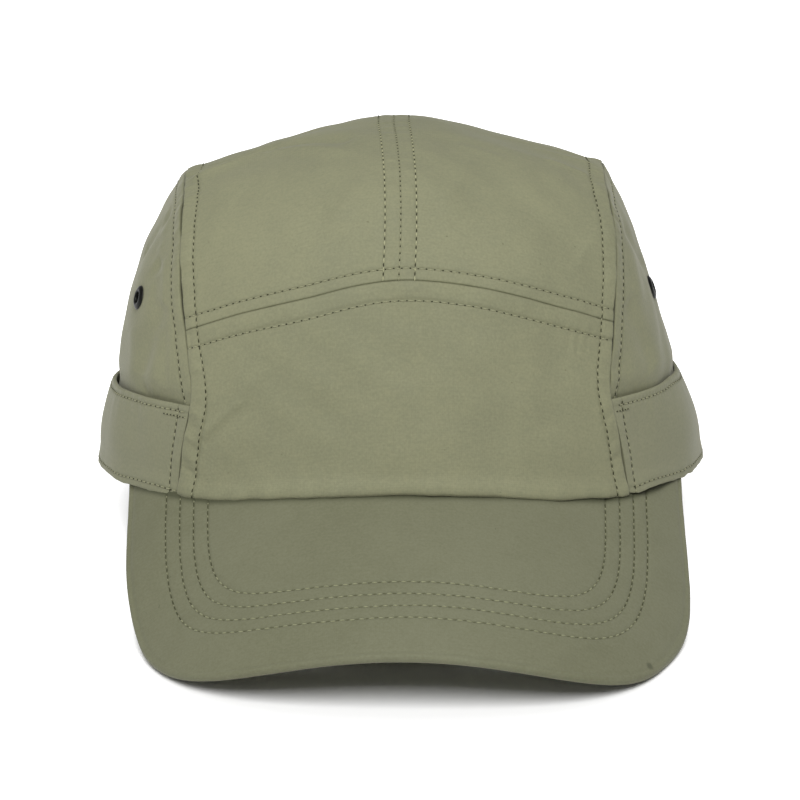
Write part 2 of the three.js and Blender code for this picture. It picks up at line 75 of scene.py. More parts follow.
CORNER_DRAWN_IN, CORNER_SPREAD, SKEW_LEFT, SKEW_RIGHT = 1.5, 3.0, 0.8, 1.2
LEFT_ARCH, RIGHT_ARCH, SEAM_DRIFT, LOW_DRIFT = -0.4, 1.2, 1.3, 1.7
BAND_HEIGHT, BAND_LIP, BAND_STAND, SEAM_GAP = 29.5, 1.0, 0.4, 0.35
LEFT_BULGE, RIGHT_BULGE = 1.8, 2.6
HALF_WIDTH, HALF_LENGTH = CROWN_WIDTH / 2, CROWN_LENGTH / 2

# How the cap leans back at rest, and where the middle of its rim then is
REST_TILT = math.radians(12.364)
REST_PLACE = (0.0007, 30.618, 20.117)

# Rows from the front rim to the back rim. ridge is the middle of the strip, as a share of half
# the length and of the crown's height. seam is its edge, as a share of half the top width, of
# the rim's depth at that width and of the shoulder's height. A small roof is a sharp ridge.
ROW_COLUMNS = ("ridge_y", "ridge_z", "seam_x", "seam_y", "seam_z", "roof")
ROWS = np.array([
    (-1.0, 0.0, 1.075, -1.0, 0.0, 1.0),
    (-0.99, 0.205, 1.04, -1.0, 0.165, 1.0),
    (-0.97, 0.41, 0.99, -0.98, 0.345, 0.9),
    (-0.925, 0.635, 1.015, -0.92, 0.55, 0.65),
    (-0.835, 0.765, 1.035, -0.85, 0.71, 0.5),
    (-0.685, 0.88, 1.03, -0.7, 0.85, 0.4),
    (-0.47, 0.96, 1.01, -0.48, 0.95, 0.33),
    (-0.17, 1.0, 1.0, -0.15, 1.0, 0.3),
    (0.15, 0.995, 1.0, 0.2, 0.985, 0.3),
    (0.47, 0.925, 1.0, 0.53, 0.91, 0.33),
    (0.73, 0.76, 1.0, 0.785, 0.745, 0.42),
    (0.9, 0.52, 1.0, 0.93, 0.51, 0.6),
    (0.98, 0.25, 1.01, 0.99, 0.25, 0.9),
    (1.0, 0.0, 1.03, 1.0, 0.0, 1.0),
])
FRONT_SEAM, TOP_ROW, LAST_ROW = 3, 7, len(ROWS) - 1
ARC_SAG = 0.085


# %% Small helpers for curves and shares
def smooth(value, start, end):
    """0 before start, 1 after end, and a soft step between them."""
    share = np.clip((np.asarray(value, float) - start) / (np.asarray(end) - start), 0, 1)
    return share * share * (3 - 2 * share)


def mix(start, end, share):
    return start + (end - start) * share


def both_ends(share, pull=0.5):
    """The same range with its steps closer together at both ends."""
    return share - pull * np.sin(2 * np.pi * share) / (2 * np.pi)


def far_end(share, pull=0.5):
    """The same range with its steps closer together at its end."""
    return share * (1 + pull) - pull * share ** 2


def hump(distance, width):
    return np.exp(-(distance / width) ** 2)


# %% The strip, the side panels and the way out of the cloth
def row_at(along):
    """The rows joined by a smooth curve, column by column."""
    place = np.clip(np.asarray(along, float), 0, LAST_ROW)
    index = np.minimum(place.astype(int), LAST_ROW - 1)
    part = (place - index)[..., None]
    here, after = ROWS[index], ROWS[index + 1]
    before = np.where((index > 0)[..., None], ROWS[np.maximum(index - 1, 0)], 2 * here - after)
    inner = (index + 2 <= LAST_ROW)[..., None]
    later = np.where(inner, ROWS[np.minimum(index + 2, LAST_ROW)], 2 * after - here)
    slope = after - before
    bend = 2 * before - 5 * here + 4 * after - later
    twist = 3 * here - before - 3 * after + later
    row = here + 0.5 * (slope * part + bend * part ** 2 + twist * part ** 3)
    return dict(zip(ROW_COLUMNS, np.moveaxis(row, -1, 0)))


def seam_point(along):
    """The right side seam."""
    row = row_at(along)
    x = row["seam_x"] * TOP_WIDTH / 2
    depth = HALF_LENGTH * np.sqrt(1 - (x / HALF_WIDTH) ** 2)
    return np.stack([x, row["seam_y"] * depth, row["seam_z"] * SHOULDER_HEIGHT], -1)


def strip_point(along, across):
    """A point of the strip. Its middle is the ridge and its edges are the side seams."""
    along, across = np.broadcast_arrays(np.asarray(along, float), np.asarray(across, float))
    row, seam = row_at(along), seam_point(along)
    reach = seam[..., 0] / HALF_WIDTH
    round_off = (1 - np.sqrt(1 - (across * reach) ** 2)) / (1 - np.sqrt(1 - reach ** 2))
    roof = row["roof"]
    slope = (np.hypot(across, roof) - roof) / (np.hypot(1, roof) - roof)
    return np.stack([
        across * seam[..., 0],
        mix(row["ridge_y"] * HALF_LENGTH, seam[..., 1], round_off),
        mix(row["ridge_z"] * CROWN_HEIGHT, seam[..., 2], slope),
    ], -1)


def rim_angle(points):
    """How far round the rim points lie, from 0 in front to half a turn at the back."""
    return np.arctan2(np.abs(points[..., 0]) / HALF_WIDTH, -points[..., 1] / HALF_LENGTH)


FIRST_ANGLE, LAST_ANGLE = rim_angle(seam_point(0.0)), rim_angle(seam_point(float(LAST_ROW)))


def side_point(side, along, up):
    """A point of the left (-1) or right (1) side panel, between the rim and the side seam."""
    along, up = np.broadcast_arrays(np.asarray(along, float), np.asarray(up, float))
    seam = seam_point(along)
    share = along / LAST_ROW
    angle = mix(FIRST_ANGLE, LAST_ANGLE, share - 0.35 * np.sin(2 * np.pi * share) / (2 * np.pi))
    fullness = LEFT_FULLNESS if side < 0 else RIGHT_FULLNESS
    inward = mix(up, up ** SHOULDER_POWER, fullness)
    return np.stack([
        side * mix(HALF_WIDTH * np.sin(angle), seam[..., 0], inward),
        mix(-HALF_LENGTH * np.cos(angle), seam[..., 1], inward),
        seam[..., 2] * up,
    ], -1)


def outward(points):
    """The way out of the cloth, taken from a rounded box of the crown's size."""
    x, y, z = np.moveaxis(points, -1, 0)
    way = np.stack([
        x * np.abs(x) / HALF_WIDTH ** 3,
        y * np.abs(y) / HALF_LENGTH ** 3,
        np.maximum(z, 0) ** 2 / CROWN_HEIGHT ** 3,
    ], -1)
    return way / np.linalg.norm(way, axis=-1, keepdims=True)


# %% The peak's slope, and the rim that rides up on it
PEAK_REACH = PEAK_RADIUS * math.asin(PEAK_WIDTH / 2 / PEAK_RADIUS)


def root_lift(lateral, forward):
    """The root of the peak is flatter than its front edge and twisted a little."""
    wing = smooth(np.abs(lateral) / PEAK_REACH, 0.62, 0.98)
    fade = 1 - smooth(forward, 0, PEAK_LENGTH * 0.6)
    drop = RIGHT_WING_DROP * smooth(lateral / PEAK_REACH, 0.62, 0.98)
    return (PEAK_ROOT_HEIGHT * wing - drop - PEAK_TWIST * lateral) * fade


def skewed(lateral, forward):
    """The peak is spread at the left near its root and at the right in front, as if turned."""
    share, front = lateral / PEAK_REACH, smooth(forward, 0, 45)
    left, right, edge = smooth(-share, 0.75, 1), smooth(share, 0.3, 0.75), smooth(share, 0.85, 1)
    aside = (ROOT_SPREAD_RIGHT + PEAK_SPREAD_RIGHT * front) * right
    aside -= PEAK_SPREAD_LEFT * left * (1 - front)
    aside += edge * mix(-CORNER_DRAWN_IN, CORNER_SPREAD, smooth(forward, -35, 33))
    ahead = mix(-SKEW_LEFT, SKEW_RIGHT, smooth(share, -0.6, 0.85)) * smooth(forward, 30, 70)
    return lateral + aside, forward + ahead


def peak_height(x, y):
    """How high the peak's upper face is under a place of the rim."""
    sideways = np.clip(x - PEAK_SHIFT, -PEAK_RADIUS, PEAK_RADIUS)
    drop = PEAK_RADIUS - np.sqrt(PEAK_RADIUS ** 2 - sideways ** 2)
    plain = (y + HALF_LENGTH) * math.tan(PEAK_PITCH) - drop / math.cos(PEAK_PITCH)
    return FRONT_ARCH + plain + root_lift(PEAK_RADIUS * np.arcsin(sideways / PEAK_RADIUS), 0)


def peak_point(lateral, forward, depth):
    """lateral goes round the peak's curve, forward down its slope, depth into its thickness."""
    lateral, forward = skewed(lateral, forward)
    angle = lateral / PEAK_RADIUS
    radius = PEAK_RADIUS - depth
    drop = PEAK_RADIUS - radius * np.cos(angle)
    cos, sin = math.cos(PEAK_PITCH), math.sin(PEAK_PITCH)
    return np.stack(np.broadcast_arrays(
        PEAK_SHIFT + radius * np.sin(angle),
        -HALF_LENGTH - forward * cos + drop * sin,
        FRONT_ARCH - forward * sin - drop * cos + root_lift(lateral, forward),
    ), -1)


def rim_lift(points):
    """Lift of the rim where it rides up on the peak, and where the sides arch up behind it."""
    x, y, z = np.moveaxis(points, -1, 0)
    side = np.where(x < 0, -1, 1)
    wing = np.arcsin(np.minimum((PEAK_WIDTH / 2 + side * PEAK_SHIFT) / HALF_WIDTH, 0.99))
    angle = rim_angle(points)
    reach = np.hypot(x / HALF_WIDTH, y / HALF_LENGTH)
    walls = np.maximum(reach, 1 - 3 * CLOTH / HALF_LENGTH)
    slope = mix(walls, 1, smooth(z, 0, BAND_HEIGHT / 4))
    seat_angle = np.minimum(angle, wing)
    seat = peak_height(side * HALF_WIDTH * np.sin(seat_angle) * slope,
                       -HALF_LENGTH * np.cos(seat_angle) * slope)
    over_peak = seat + SEAM_GAP / math.cos(PEAK_PITCH)
    behind = smooth(angle, wing + math.radians(1), wing + math.radians(14))
    arch = mix(over_peak, np.where(x < 0, LEFT_ARCH, RIGHT_ARCH), behind)
    arch = arch * (1 - smooth(angle, math.radians(95), math.radians(160)))
    return arch * (1 - smooth(z, 0, SHOULDER_HEIGHT * 0.6))


def settle(points):
    """Worn cloth: the rim rides up on the peak, the top leans, the right shoulder is higher,
    and the left seam has crept inwards."""
    x, y, z = np.moveaxis(points, -1, 0)
    roll = x * SHOULDER_ROLL * smooth(z, 0, SHOULDER_HEIGHT * 0.4)
    drift = SEAM_DRIFT * hump(x + TOP_WIDTH / 2, 26) * smooth(z, 8, 35) * (1 - smooth(z, 78, 96))
    drift = drift + LOW_DRIFT * hump(x + TOP_WIDTH / 2, 20) * (1 - smooth(z, 4, 34))
    lean = drift - LEAN_OFFSET * z / CROWN_HEIGHT
    return np.stack([x + lean, y, z + rim_lift(points) + roll], -1)


def at_rest(points):
    """From the crown's own frame in millimetres to the cap at rest in metres."""
    x, y, z = np.moveaxis(np.asarray(points, float), -1, 0)
    cos, sin = math.cos(REST_TILT), math.sin(REST_TILT)
    return (np.stack([x, y * cos + z * sin, z * cos - y * sin], -1) + REST_PLACE) * 0.001


# %% [markdown]
# ## What sewing does to the cloth
# A seam pulls the cloth into a ditch, the hem behind it pads a soft strip beside it, and the row
# of stitches draws a shallow valley with a small dimple at every stitch. Thin cloth also gathers
# a little, so the strip between seam and stitches is puckered. All of this is a height over the
# plain form that depends on how far a place is from the seam and on how far along it, so it is
# worked out from those two lengths for every piece.

# %% Seams as curves, and the distance to them
def arc_row(across):
    """Row number of the seam between the front panel and the top panels. It sags on the left."""
    return FRONT_SEAM - ARC_SAG * np.exp(-((np.asarray(across) + 0.42) / 0.3) ** 2)


def centre_share(along):
    """Where the seam between the top panels runs. It bows to the right in front."""
    bowed = np.clip((along - FRONT_SEAM + 0.7) / (TOP_ROW - FRONT_SEAM + 0.7), 0, 1)
    return CENTRE_OFFSET * np.sin(np.pi * bowed) / seam_point(along)[..., 0]


SIDE_SEAM = seam_point(np.linspace(0, LAST_ROW, 2600))
across_arc = np.linspace(-1, 1, 900)
ARC_SEAM = strip_point(arc_row(across_arc), across_arc)
along_top = np.linspace(FRONT_SEAM - 0.1, LAST_ROW, 1600)
CENTRE_SEAM = strip_point(along_top, centre_share(along_top))


def runs(curve):
    """The length along a curve up to each of its points."""
    return np.concatenate([[0], np.cumsum(np.linalg.norm(np.diff(curve, axis=0), axis=1))])


def from_curve(points, curve):
    """For each point, its distance to the curve and how far along the curve that is."""
    curve3 = np.zeros((len(curve), 3))
    curve3[:, :curve.shape[1]] = curve
    tree = KDTree(len(curve))
    for index, place in enumerate(curve3):
        tree.insert(place, index)
    tree.balance()
    flat = np.zeros((points.size // points.shape[-1], 3))
    flat[:, :points.shape[-1]] = points.reshape(-1, points.shape[-1])
    found = [tree.find(place)[1:] for place in flat]
    index, distance = np.array(found).T
    shape = points.shape[:-1]
    return distance.reshape(shape), runs(curve)[index.astype(int)].reshape(shape)


def waves(points, length, seed):
    """Soft irregular waves of about one length, between about -1 and 1."""
    random = np.random.default_rng(seed)
    ways = random.normal(size=(7, points.shape[-1]))
    ways /= np.linalg.norm(ways, axis=1, keepdims=True)
    turns = 2 * np.pi / (length * random.uniform(0.75, 1.5, 7))
    starts = random.uniform(0, 2 * np.pi, 7)
    return np.sin(points @ ways.T * turns + starts).sum(-1) / 3.2


SIDE_ROW, CENTRE_ROW, ARC_ROW_ABOVE, ARC_ROW_BELOW = 5.4, 4.9, 4.0, 5.7
SIDE_PITCH, CENTRE_PITCH, ARC_PITCH, BAND_PITCH, PEAK_PITCH_ROW = 2.35, 3.0, 2.6, 2.5, 3.0
CENTRE_HOLE, LONG_HOLE, SHORT_HOLE, PEAK_SIDE_HOLE = 1.4, 1.35, 0.65, 2.1
LOW_ROW_SPREAD, RIM_DROP, CENTRE_FAINTER = 2.0, 0.7, 0.26


def sewn(distance, run, row, pitch, seed, ditch=0.3, gather=1.0):
    """Height in millimetres beside a seam whose stitches run at a distance of row."""
    gathers = waves(np.stack([run, distance * 0.35], -1), 6.5, seed)
    fine = waves(np.stack([run, distance * 0.2], -1), 2.8, seed + 1)
    height = -ditch * hump(distance, 0.22)
    height += 0.12 * hump(distance - row * 0.5, row * 0.34)
    height -= 0.2 * hump(distance - row, 0.55)
    height += gather * 0.2 * gathers * hump(distance - row * 0.5, row * 0.5)
    height += gather * 0.1 * fine * hump(distance - row * 0.6, row * 0.55)
    height += 0.08 * np.cos(2 * np.pi * run / pitch) * hump(distance - row, 0.7)
    return height


# %% Where the eyelets sit
EYELET_DIAMETER, EYELET_HOLE, EYELET_WALL = 7.8, 3.6, 0.6
EYELET_PLACES = {-1: (59.1, 32.5), 1: (58.0, 23.0)}


def eyelet_seat(side):
    """Row number and share of the height, from a height and a distance to the front."""
    rise, forward = EYELET_PLACES[side]
    rows_up = np.linspace(2, TOP_ROW, 4000)
    rows_up = rows_up[seam_point(rows_up)[..., 2] > rise * 1.05]
    up = rise / seam_point(rows_up)[..., 2]
    best = np.argmin(np.abs(side_point(side, rows_up, up)[..., 1] + forward))
    return rows_up[best], up[best]


# %% Creases and soft folds that wear has left
# Each runs straight from one place to another. height is in millimetres, above 0 for a ridge
# and below 0 for a valley, and a crisp one has a sharp crest.
FOLD_COLUMNS = ("from_along", "from_place", "to_along", "to_place", "width", "height", "crisp")
STRIP_FOLDS = [
    (6.55, -0.95, 6.7, -0.6, 5.0, 0.5, 0),
    (6.7, -0.62, 6.15, -0.2, 6.0, 0.5, 0),
    (6.65, 0.08, 6.5, 0.5, 6.0, 0.5, 0),
    (6.5, 0.48, 6.4, 0.94, 5.0, 0.55, 0),
    (6.7, -0.93, 6.75, -0.6, 2.5, 1.2, 1),
    (6.78, -0.62, 5.95, -0.2, 2.9, 1.2, 1),
    (7.05, -0.9, 7.15, -0.55, 3.0, -0.9, 0),
    (7.15, -0.6, 6.4, -0.2, 3.0, -1.2, 0),
    (7.05, 0.66, 6.9, 0.95, 2.5, 0.7, 1),
    (7.35, 0.5, 7.3, 0.92, 2.8, 0.55, 1),
    (6.3, 0.28, 6.1, 0.52, 3.0, 0.5, 0),
    (6.46, 0.7, 6.33, 0.92, 1.5, 0.6, 1),
    (6.5, -0.96, 6.68, -0.76, 1.3, 0.8, 1),
    (5.2, 0.3, 4.2, 0.85, 9.0, -1.1, 0),
    (5.6, -0.75, 4.6, -0.25, 11.0, -0.9, 0),
    (1.15, -0.93, 1.72, -0.74, 1.7, 0.45, 0),
    (1.6, -0.78, 2.15, -0.62, 2.2, 0.35, 0),
    (1.0, -0.9, 1.6, -0.7, 2.4, -0.35, 0),
    (2.68, 0.8, 2.4, 0.8, 0.9, -0.25, 0),
    (2.7, 0.84, 2.38, 0.84, 0.8, -0.25, 0),
    (2.68, 0.88, 2.4, 0.88, 0.8, -0.22, 0),
    (0.75, -0.75, 0.35, -0.3, 5.0, -0.3, 0),
]
LEFT_FOLDS = [
    (6, 0.94, 6.3, 0.76, 3.4, -0.87, 0),
    (4.9, 0.9, 4.9, 0.78, 2.9, -0.87, 0),
    (3.9, 0.9, 3.6, 0.5, 4.8, -1.06, 0),
    (6.3, 0.94, 5.95, 0.85, 2.4, 0.3, 0),
    (5.95, 0.93, 5.27, 0.89, 2.7, 0.36, 0),
    (5.35, 0.9, 4.6, 0.78, 3, 0.42, 0),
    (5.62, 0.91, 5.15, 0.855, 2.9, -0.3, 0),
    (4.65, 0.87, 4.15, 0.82, 3.2, -0.36, 0),
    (4.85, 0.925, 3.85, 0.9, 1.9, 0.24, 0),
    (4.8, 0.63, 4, 0.51, 4.5, 0.36, 0),
    (4.2, 0.72, 3.5, 0.6, 4.2, -0.3, 0),
    (3.7, 0.82, 2.85, 0.7, 3.5, 0.33, 0),
    (3.4, 0.885, 2.5, 0.785, 2.7, -0.27, 0),
    (3.3, 0.915, 2.35, 0.825, 2.1, 0.21, 0),
    (3.32, 0.58, 3.34, 0.48, 1.4, -0.18, 0),
    (3.05, 0.63, 3.05, 0.53, 1.3, -0.15, 0),
    (2.79, 0.71, 2.75, 0.59, 1.4, -0.18, 0),
    (2.58, 0.75, 2.52, 0.66, 1.3, -0.15, 0),
]
RIGHT_FOLDS = [
    (5.5, 0.92, 5.9, 0.7, 3.9, -0.87, 0),
    (3.8, 0.9, 3.7, 0.55, 4.8, -0.97, 0),
    (5.4, 0.9, 4.35, 0.78, 4.2, 0.3, 0),
    (4.4, 0.8, 3.7, 0.62, 4.8, -0.24, 0),
    (2.95, 0.82, 2.6, 0.72, 2.9, 0.21, 0),
    (3, 0.62, 2.95, 0.5, 1.6, -0.15, 0),
    (2.7, 0.7, 2.62, 0.58, 1.4, -0.15, 0),
]


def folded(points, folds, place):
    """Height of the folds at each point. place turns a row number and a share into a point."""
    normal = outward(points)
    total = np.zeros(points.shape[:-1])
    for numbers in folds:
        fold = dict(zip(FOLD_COLUMNS, numbers))
        start = place(fold["from_along"], fold["from_place"])
        end = place(fold["to_along"], fold["to_place"])
        line = end - start
        share = np.clip(((points - start) @ line) / (line @ line), 0, 1)
        away = points - start - share[..., None] * line
        away -= (away * normal).sum(-1, keepdims=True) * normal
        distance = np.linalg.norm(away, axis=-1)
        shape = hump(distance, fold["width"])
        if fold["crisp"]:
            shape = np.exp(-(np.hypot(distance, 0.5) - 0.5) / fold["width"])
        total += fold["height"] * shape * (1 - (2 * share - 1) ** 8)
    eyelets = [side_point(side, *eyelet_seat(side)) for side in (-1, 1)]
    near = np.minimum(*[np.linalg.norm(points - place, axis=-1) for place in eyelets])
    return total * smooth(near, EYELET_DIAMETER * 0.6, EYELET_DIAMETER * 1.4)


print("folds", len(STRIP_FOLDS), len(LEFT_FOLDS), len(RIGHT_FOLDS))


# %% The cloth's surface: form, sewing and folds together
def mirrored(points):
    """The points at the left moved over to the right, where the seam curve runs."""
    return points * np.where(points[..., :1] < 0, [-1, 1, 1], [1, 1, 1])


def behind_band(points):
    """The cloth of the sides and the back steps in under the band."""
    return -(CLOTH + SEAM_GAP) * (1 - smooth(points[..., 2], BAND_HEIGHT - 1, BAND_HEIGHT + 7))


def rolled_rim(points):
    """The turned-up hem of the front rim swells out a little and tucks in at its edge."""
    rise = points[..., 2]
    swell = 0.9 + 0.25 * waves(points[..., :1], 9, 51)
    return swell * hump(rise - 2.4, 2.4) - 0.6 * hump(rise, 0.6)


def strip_row_offset(points):
    """The row beside the left-hand seam runs wider of it low down on the front panel."""
    low = (1 - smooth(points[..., 2], 22, 52)) * (points[..., 0] < 0)
    return SIDE_ROW + LOW_ROW_SPREAD * low


def strip_surface(along, across, lift=0.0):
    """A place on the front panel or a top panel, at rest, and how near a seam or row it is."""
    points = strip_point(along, across)
    front = np.broadcast_to(along <= arc_row(across) + 1e-6, points.shape[:-1])
    side, side_run = from_curve(mirrored(points), SIDE_SEAM)
    arc, arc_run = from_curve(points, ARC_SEAM)
    left = points[..., 0] < 0
    side_at = strip_row_offset(points)
    height = np.where(left, sewn(side, side_run, side_at, SIDE_PITCH, 3, gather=1.5),
                      sewn(side, side_run, side_at, SIDE_PITCH, 5, gather=1.3))
    below = sewn(arc, arc_run, ARC_ROW_BELOW, ARC_PITCH, 7, ditch=0.24, gather=0.8)
    above = sewn(arc, arc_run, ARC_ROW_ABOVE, ARC_PITCH, 9, ditch=0.24, gather=0.5)
    height = height + np.where(front, below, above)
    centre, centre_run = from_curve(points, CENTRE_SEAM)
    middle = sewn(centre, centre_run, CENTRE_ROW, CENTRE_PITCH, 11, ditch=0.12, gather=0.9)
    height = height + np.where(front, 0, middle)
    height = height + 0.4 * waves(points, 34, 21) + 0.17 * waves(points, 13, 22)
    height = height + np.where(front, rolled_rim(points), 0)
    height = height + folded(points, STRIP_FOLDS, strip_point)
    height = height + np.where(front, 0, behind_band(points))
    # nearest sets the painted seam shade, which is fainter at the centre seam.
    nearest = np.minimum(side, arc)
    nearest = np.where(front, nearest, np.minimum(nearest, centre + CENTRE_FAINTER))
    rows = np.minimum(np.abs(side - side_at),
                      np.abs(arc - np.where(front, ARC_ROW_BELOW, ARC_ROW_ABOVE)))
    rows = np.where(front, rows, np.minimum(rows, np.abs(centre - CENTRE_ROW)))
    raised = points + outward(points) * (height + lift)[..., None]
    raised[..., 2] -= np.where(front, RIM_DROP * hump(points[..., 2], 5), 0)
    return at_rest(settle(raised)), nearest, rows


def side_surface(side, along, up, lift=0.0):
    """A place on a side panel, at rest, and how near its seam or row it is."""
    points = side_point(side, along, up)
    seam, run = from_curve(mirrored(points), SIDE_SEAM)
    height = sewn(seam, run, SIDE_ROW, SIDE_PITCH, 13 if side < 0 else 15)
    height = height + 0.4 * waves(points, 30, 24 + side) + 0.18 * waves(points, 12, 27 + side)
    folds = LEFT_FOLDS if side < 0 else RIGHT_FOLDS
    height = height + folded(points, folds, lambda a, b: side_point(side, a, b))
    height = height + behind_band(points)
    raised = points + outward(points) * (height + lift)[..., None]
    return at_rest(settle(raised)), seam, np.abs(seam - SIDE_ROW)


# %% [markdown]
# ## Camera, floor and light
# The photograph is taken from straight in front with a long lens, a little above the cap, in
# soft even light on white. So the camera stands two metres away and the light comes from wide
# soft boxes in front, which leaves the cloth that faces up a little darker.

# %% Camera
CAMERA_DISTANCE, CAMERA_RISE = 2000.0, math.radians(8)
FRAME_PIXELS, FOCAL_PIXELS = 800, 6184.0
EYE_HEIGHT, AIM_ASIDE, AIM_DROP = 55.0, -0.19, 35.1
up_way = np.array([0, math.sin(CAMERA_RISE), math.cos(CAMERA_RISE)])
back_way = np.array([0, -math.cos(CAMERA_RISE), math.sin(CAMERA_RISE)])
stand = Vector(at_rest(np.array([0.0, 0.0, EYE_HEIGHT]) + CAMERA_DISTANCE * back_way))
aim = Vector(at_rest(np.array([AIM_ASIDE, 0.0, EYE_HEIGHT]) - AIM_DROP * up_way))
bpy.ops.object.camera_add(location=stand)
camera = bpy.context.object
camera.data.sensor_width = 36
camera.data.lens = FOCAL_PIXELS / FRAME_PIXELS * 36
camera.data.clip_start, camera.data.clip_end = 0.1, 50
camera.rotation_euler = (aim - stand).to_track_quat("-Z", "Y").to_euler()
bpy.context.scene.camera = camera
print("camera at", [round(v, 3) for v in stand], "lens", round(camera.data.lens, 1))


# %% Colours, and one function that adds a node
def linear(code):
    """A six figure sRGB hex colour as the linear colour that a shader takes."""
    parts = [int(code[i:i + 2], 16) / 255 for i in (1, 3, 5)]
    return (*[v / 12.92 if v <= 0.04045 else ((v + 0.055) / 1.055) ** 2.4 for v in parts], 1)


def new_material(name):
    material = bpy.data.materials.new(name)
    material.use_nodes = True
    material.node_tree.nodes.clear()
    return material


def add(material, kind, settings=None, **inputs):
    """Adds a node. An input is a number, a colour, or an output of another node."""
    node = material.node_tree.nodes.new(kind)
    for key, value in (settings or {}).items():
        setattr(node, key, value)
    for key, value in inputs.items():
        socket = node.inputs[int(key[1:])] if key[0] == "i" and key[1:].isdigit() else \
            node.inputs[key.replace("_", " ")]
        if isinstance(value, bpy.types.NodeSocket):
            material.node_tree.links.new(value, socket)
        else:
            socket.default_value = value
    return node


# %% Floor
# The paper under the cap keeps its shadow. Beside and behind the cap the paper glows a little, a
# painted light that only the camera sees, which fades the soft shadow that the high front light
# throws back there.
# The cap's footprint is taken as an oval. Lengths are metres, and the shine starts and is full
# at a share of that oval. In front of the cap there is none.
FLOOR_SIZE, PAPER_SHINE = 12, 0.7
FOOT_HALF_WIDTH, FOOT_HALF_LENGTH, FOOT_BACK = 0.0893, 0.122, 0.0195
SHINE_START, SHINE_FULL = 0.88, 1.04
FRONT_SHADED, FRONT_SHINING = -0.1, -0.04

bpy.ops.mesh.primitive_plane_add(size=FLOOR_SIZE)
floor = bpy.context.object
floor.name = "studio_floor"
paper = new_material("white_paper_floor")
paper_shader = add(paper, "ShaderNodeBsdfPrincipled", Base_Color=linear("#fbfbfb"), Roughness=0.9,
                   Specular_IOR_Level=0.1)
floor_place = add(paper, "ShaderNodeTexCoord")
footprint = add(paper, "ShaderNodeMapping", Vector=floor_place.outputs["Object"],
                Location=(0, -FOOT_BACK / FOOT_HALF_LENGTH, 0),
                Scale=(1 / FOOT_HALF_WIDTH, 1 / FOOT_HALF_LENGTH, 1))
reach = add(paper, "ShaderNodeVectorMath", {"operation": "LENGTH"}, i0=footprint.outputs[0])
away = add(paper, "ShaderNodeMapRange", {"interpolation_type": "SMOOTHSTEP"},
           Value=reach.outputs["Value"], From_Min=SHINE_START, From_Max=SHINE_FULL)
axes = add(paper, "ShaderNodeSeparateXYZ", Vector=floor_place.outputs["Object"])
behind = add(paper, "ShaderNodeMapRange", {"interpolation_type": "SMOOTHSTEP"},
             Value=axes.outputs["Y"], From_Min=FRONT_SHADED, From_Max=FRONT_SHINING)
ray = add(paper, "ShaderNodeLightPath")
strength = PAPER_SHINE
for part in (away.outputs["Result"], behind.outputs["Result"], ray.outputs["Is Camera Ray"]):
    strength = add(paper, "ShaderNodeMath", {"operation": "MULTIPLY"}, i0=part,
                   i1=strength).outputs[0]
glow = add(paper, "ShaderNodeEmission", Strength=strength)
both = add(paper, "ShaderNodeAddShader", i0=paper_shader.outputs[0], i1=glow.outputs[0])
add(paper, "ShaderNodeOutputMaterial", Surface=both.outputs[0])
floor.data.materials.append(paper)
print("floor", FLOOR_SIZE, "m")

# %% World and lights
AIR_LIGHT = 0.2
world = bpy.data.worlds.new("studio_air")
bpy.context.scene.world = world
world.use_nodes = True
world.node_tree.nodes["Background"].inputs[0].default_value = linear("#ffffff")
world.node_tree.nodes["Background"].inputs[1].default_value = AIR_LIGHT
LIT_PLACE = (0, 0, 0.07)


def soft_box(name, turn, rise, distance, size, power):
    """A square soft box that faces the cap. turn goes round the cap from its front, above 0 to
    the right of the picture, and rise is the height over the floor, both in degrees."""
    turn, rise = math.radians(turn), math.radians(rise)
    place = Vector(LIT_PLACE) + distance * Vector((
        math.cos(rise) * math.sin(turn), -math.cos(rise) * math.cos(turn), math.sin(rise)))
    bpy.ops.object.light_add(type="AREA", location=place)
    lamp = bpy.context.object
    lamp.name = name
    lamp.data.shape = "SQUARE"
    lamp.data.size = size
    lamp.data.energy = power
    lamp.rotation_euler = (Vector(LIT_PLACE) - place).to_track_quat("-Z", "Y").to_euler()


soft_box("front_box", turn=-2, rise=57, distance=3.5, size=2.7, power=140)
soft_box("back_box", turn=180, rise=65, distance=3.5, size=2.8, power=21)
soft_box("left_box", turn=-62, rise=25, distance=2.2, size=1.2, power=3.4)
soft_box("right_box", turn=80, rise=20, distance=2.2, size=1.8, power=0.4)
bpy.context.scene.view_settings.view_transform = "Standard"

# %% [markdown]
# ## Cloths
# The crown is a plain weave of fine nylon, dyed olive: matt, with a faint sheen where it turns
# away. Its threads are about 0.2 mm apart, which is finer than a pixel of the render, so the
# weave is drawn at 0.62 mm. The dye takes unevenly, so two sizes of mottling and a fine speckle
# vary the colour, short slubs run with the threads, and a few dark flecks of lint lie on it.
# Seams and stitch rows are painted a little darker, a painted shade that an attribute of each
# piece carries. The band and the peak are the same cloth, and the peak is matched a little darker.
# One small dark spot marks its right corner.

# %% Woven cloth
# Sizes in millimetres, then how strongly each pattern moves the dye. A wave texture whose scale
# is ONE_BAND has one band to each unit of its coordinates.
THREADS, SLUB_LENGTH, SLUB_WIDTH = 0.62, 4.5, 0.9
MOTTLE_SMALL, MOTTLE_LARGE, SPECKLE, FLECK = 9.0, 70.0, 0.8, 1.3
MOTTLE_WEIGHT, SLUB_WEIGHT, SPECKLE_WEIGHT, SLUB_RELIEF = 0.5, 0.45, 0.9, 0.8
DYE_DARK, DYE_LIGHT = 1.1, 1.75
ONE_BAND = 0.314
SPOT_ASIDE, SPOT_FORWARD, SPOT_CORE, SPOT_REACH = 77.4, 50.3, 0.8, 1.7
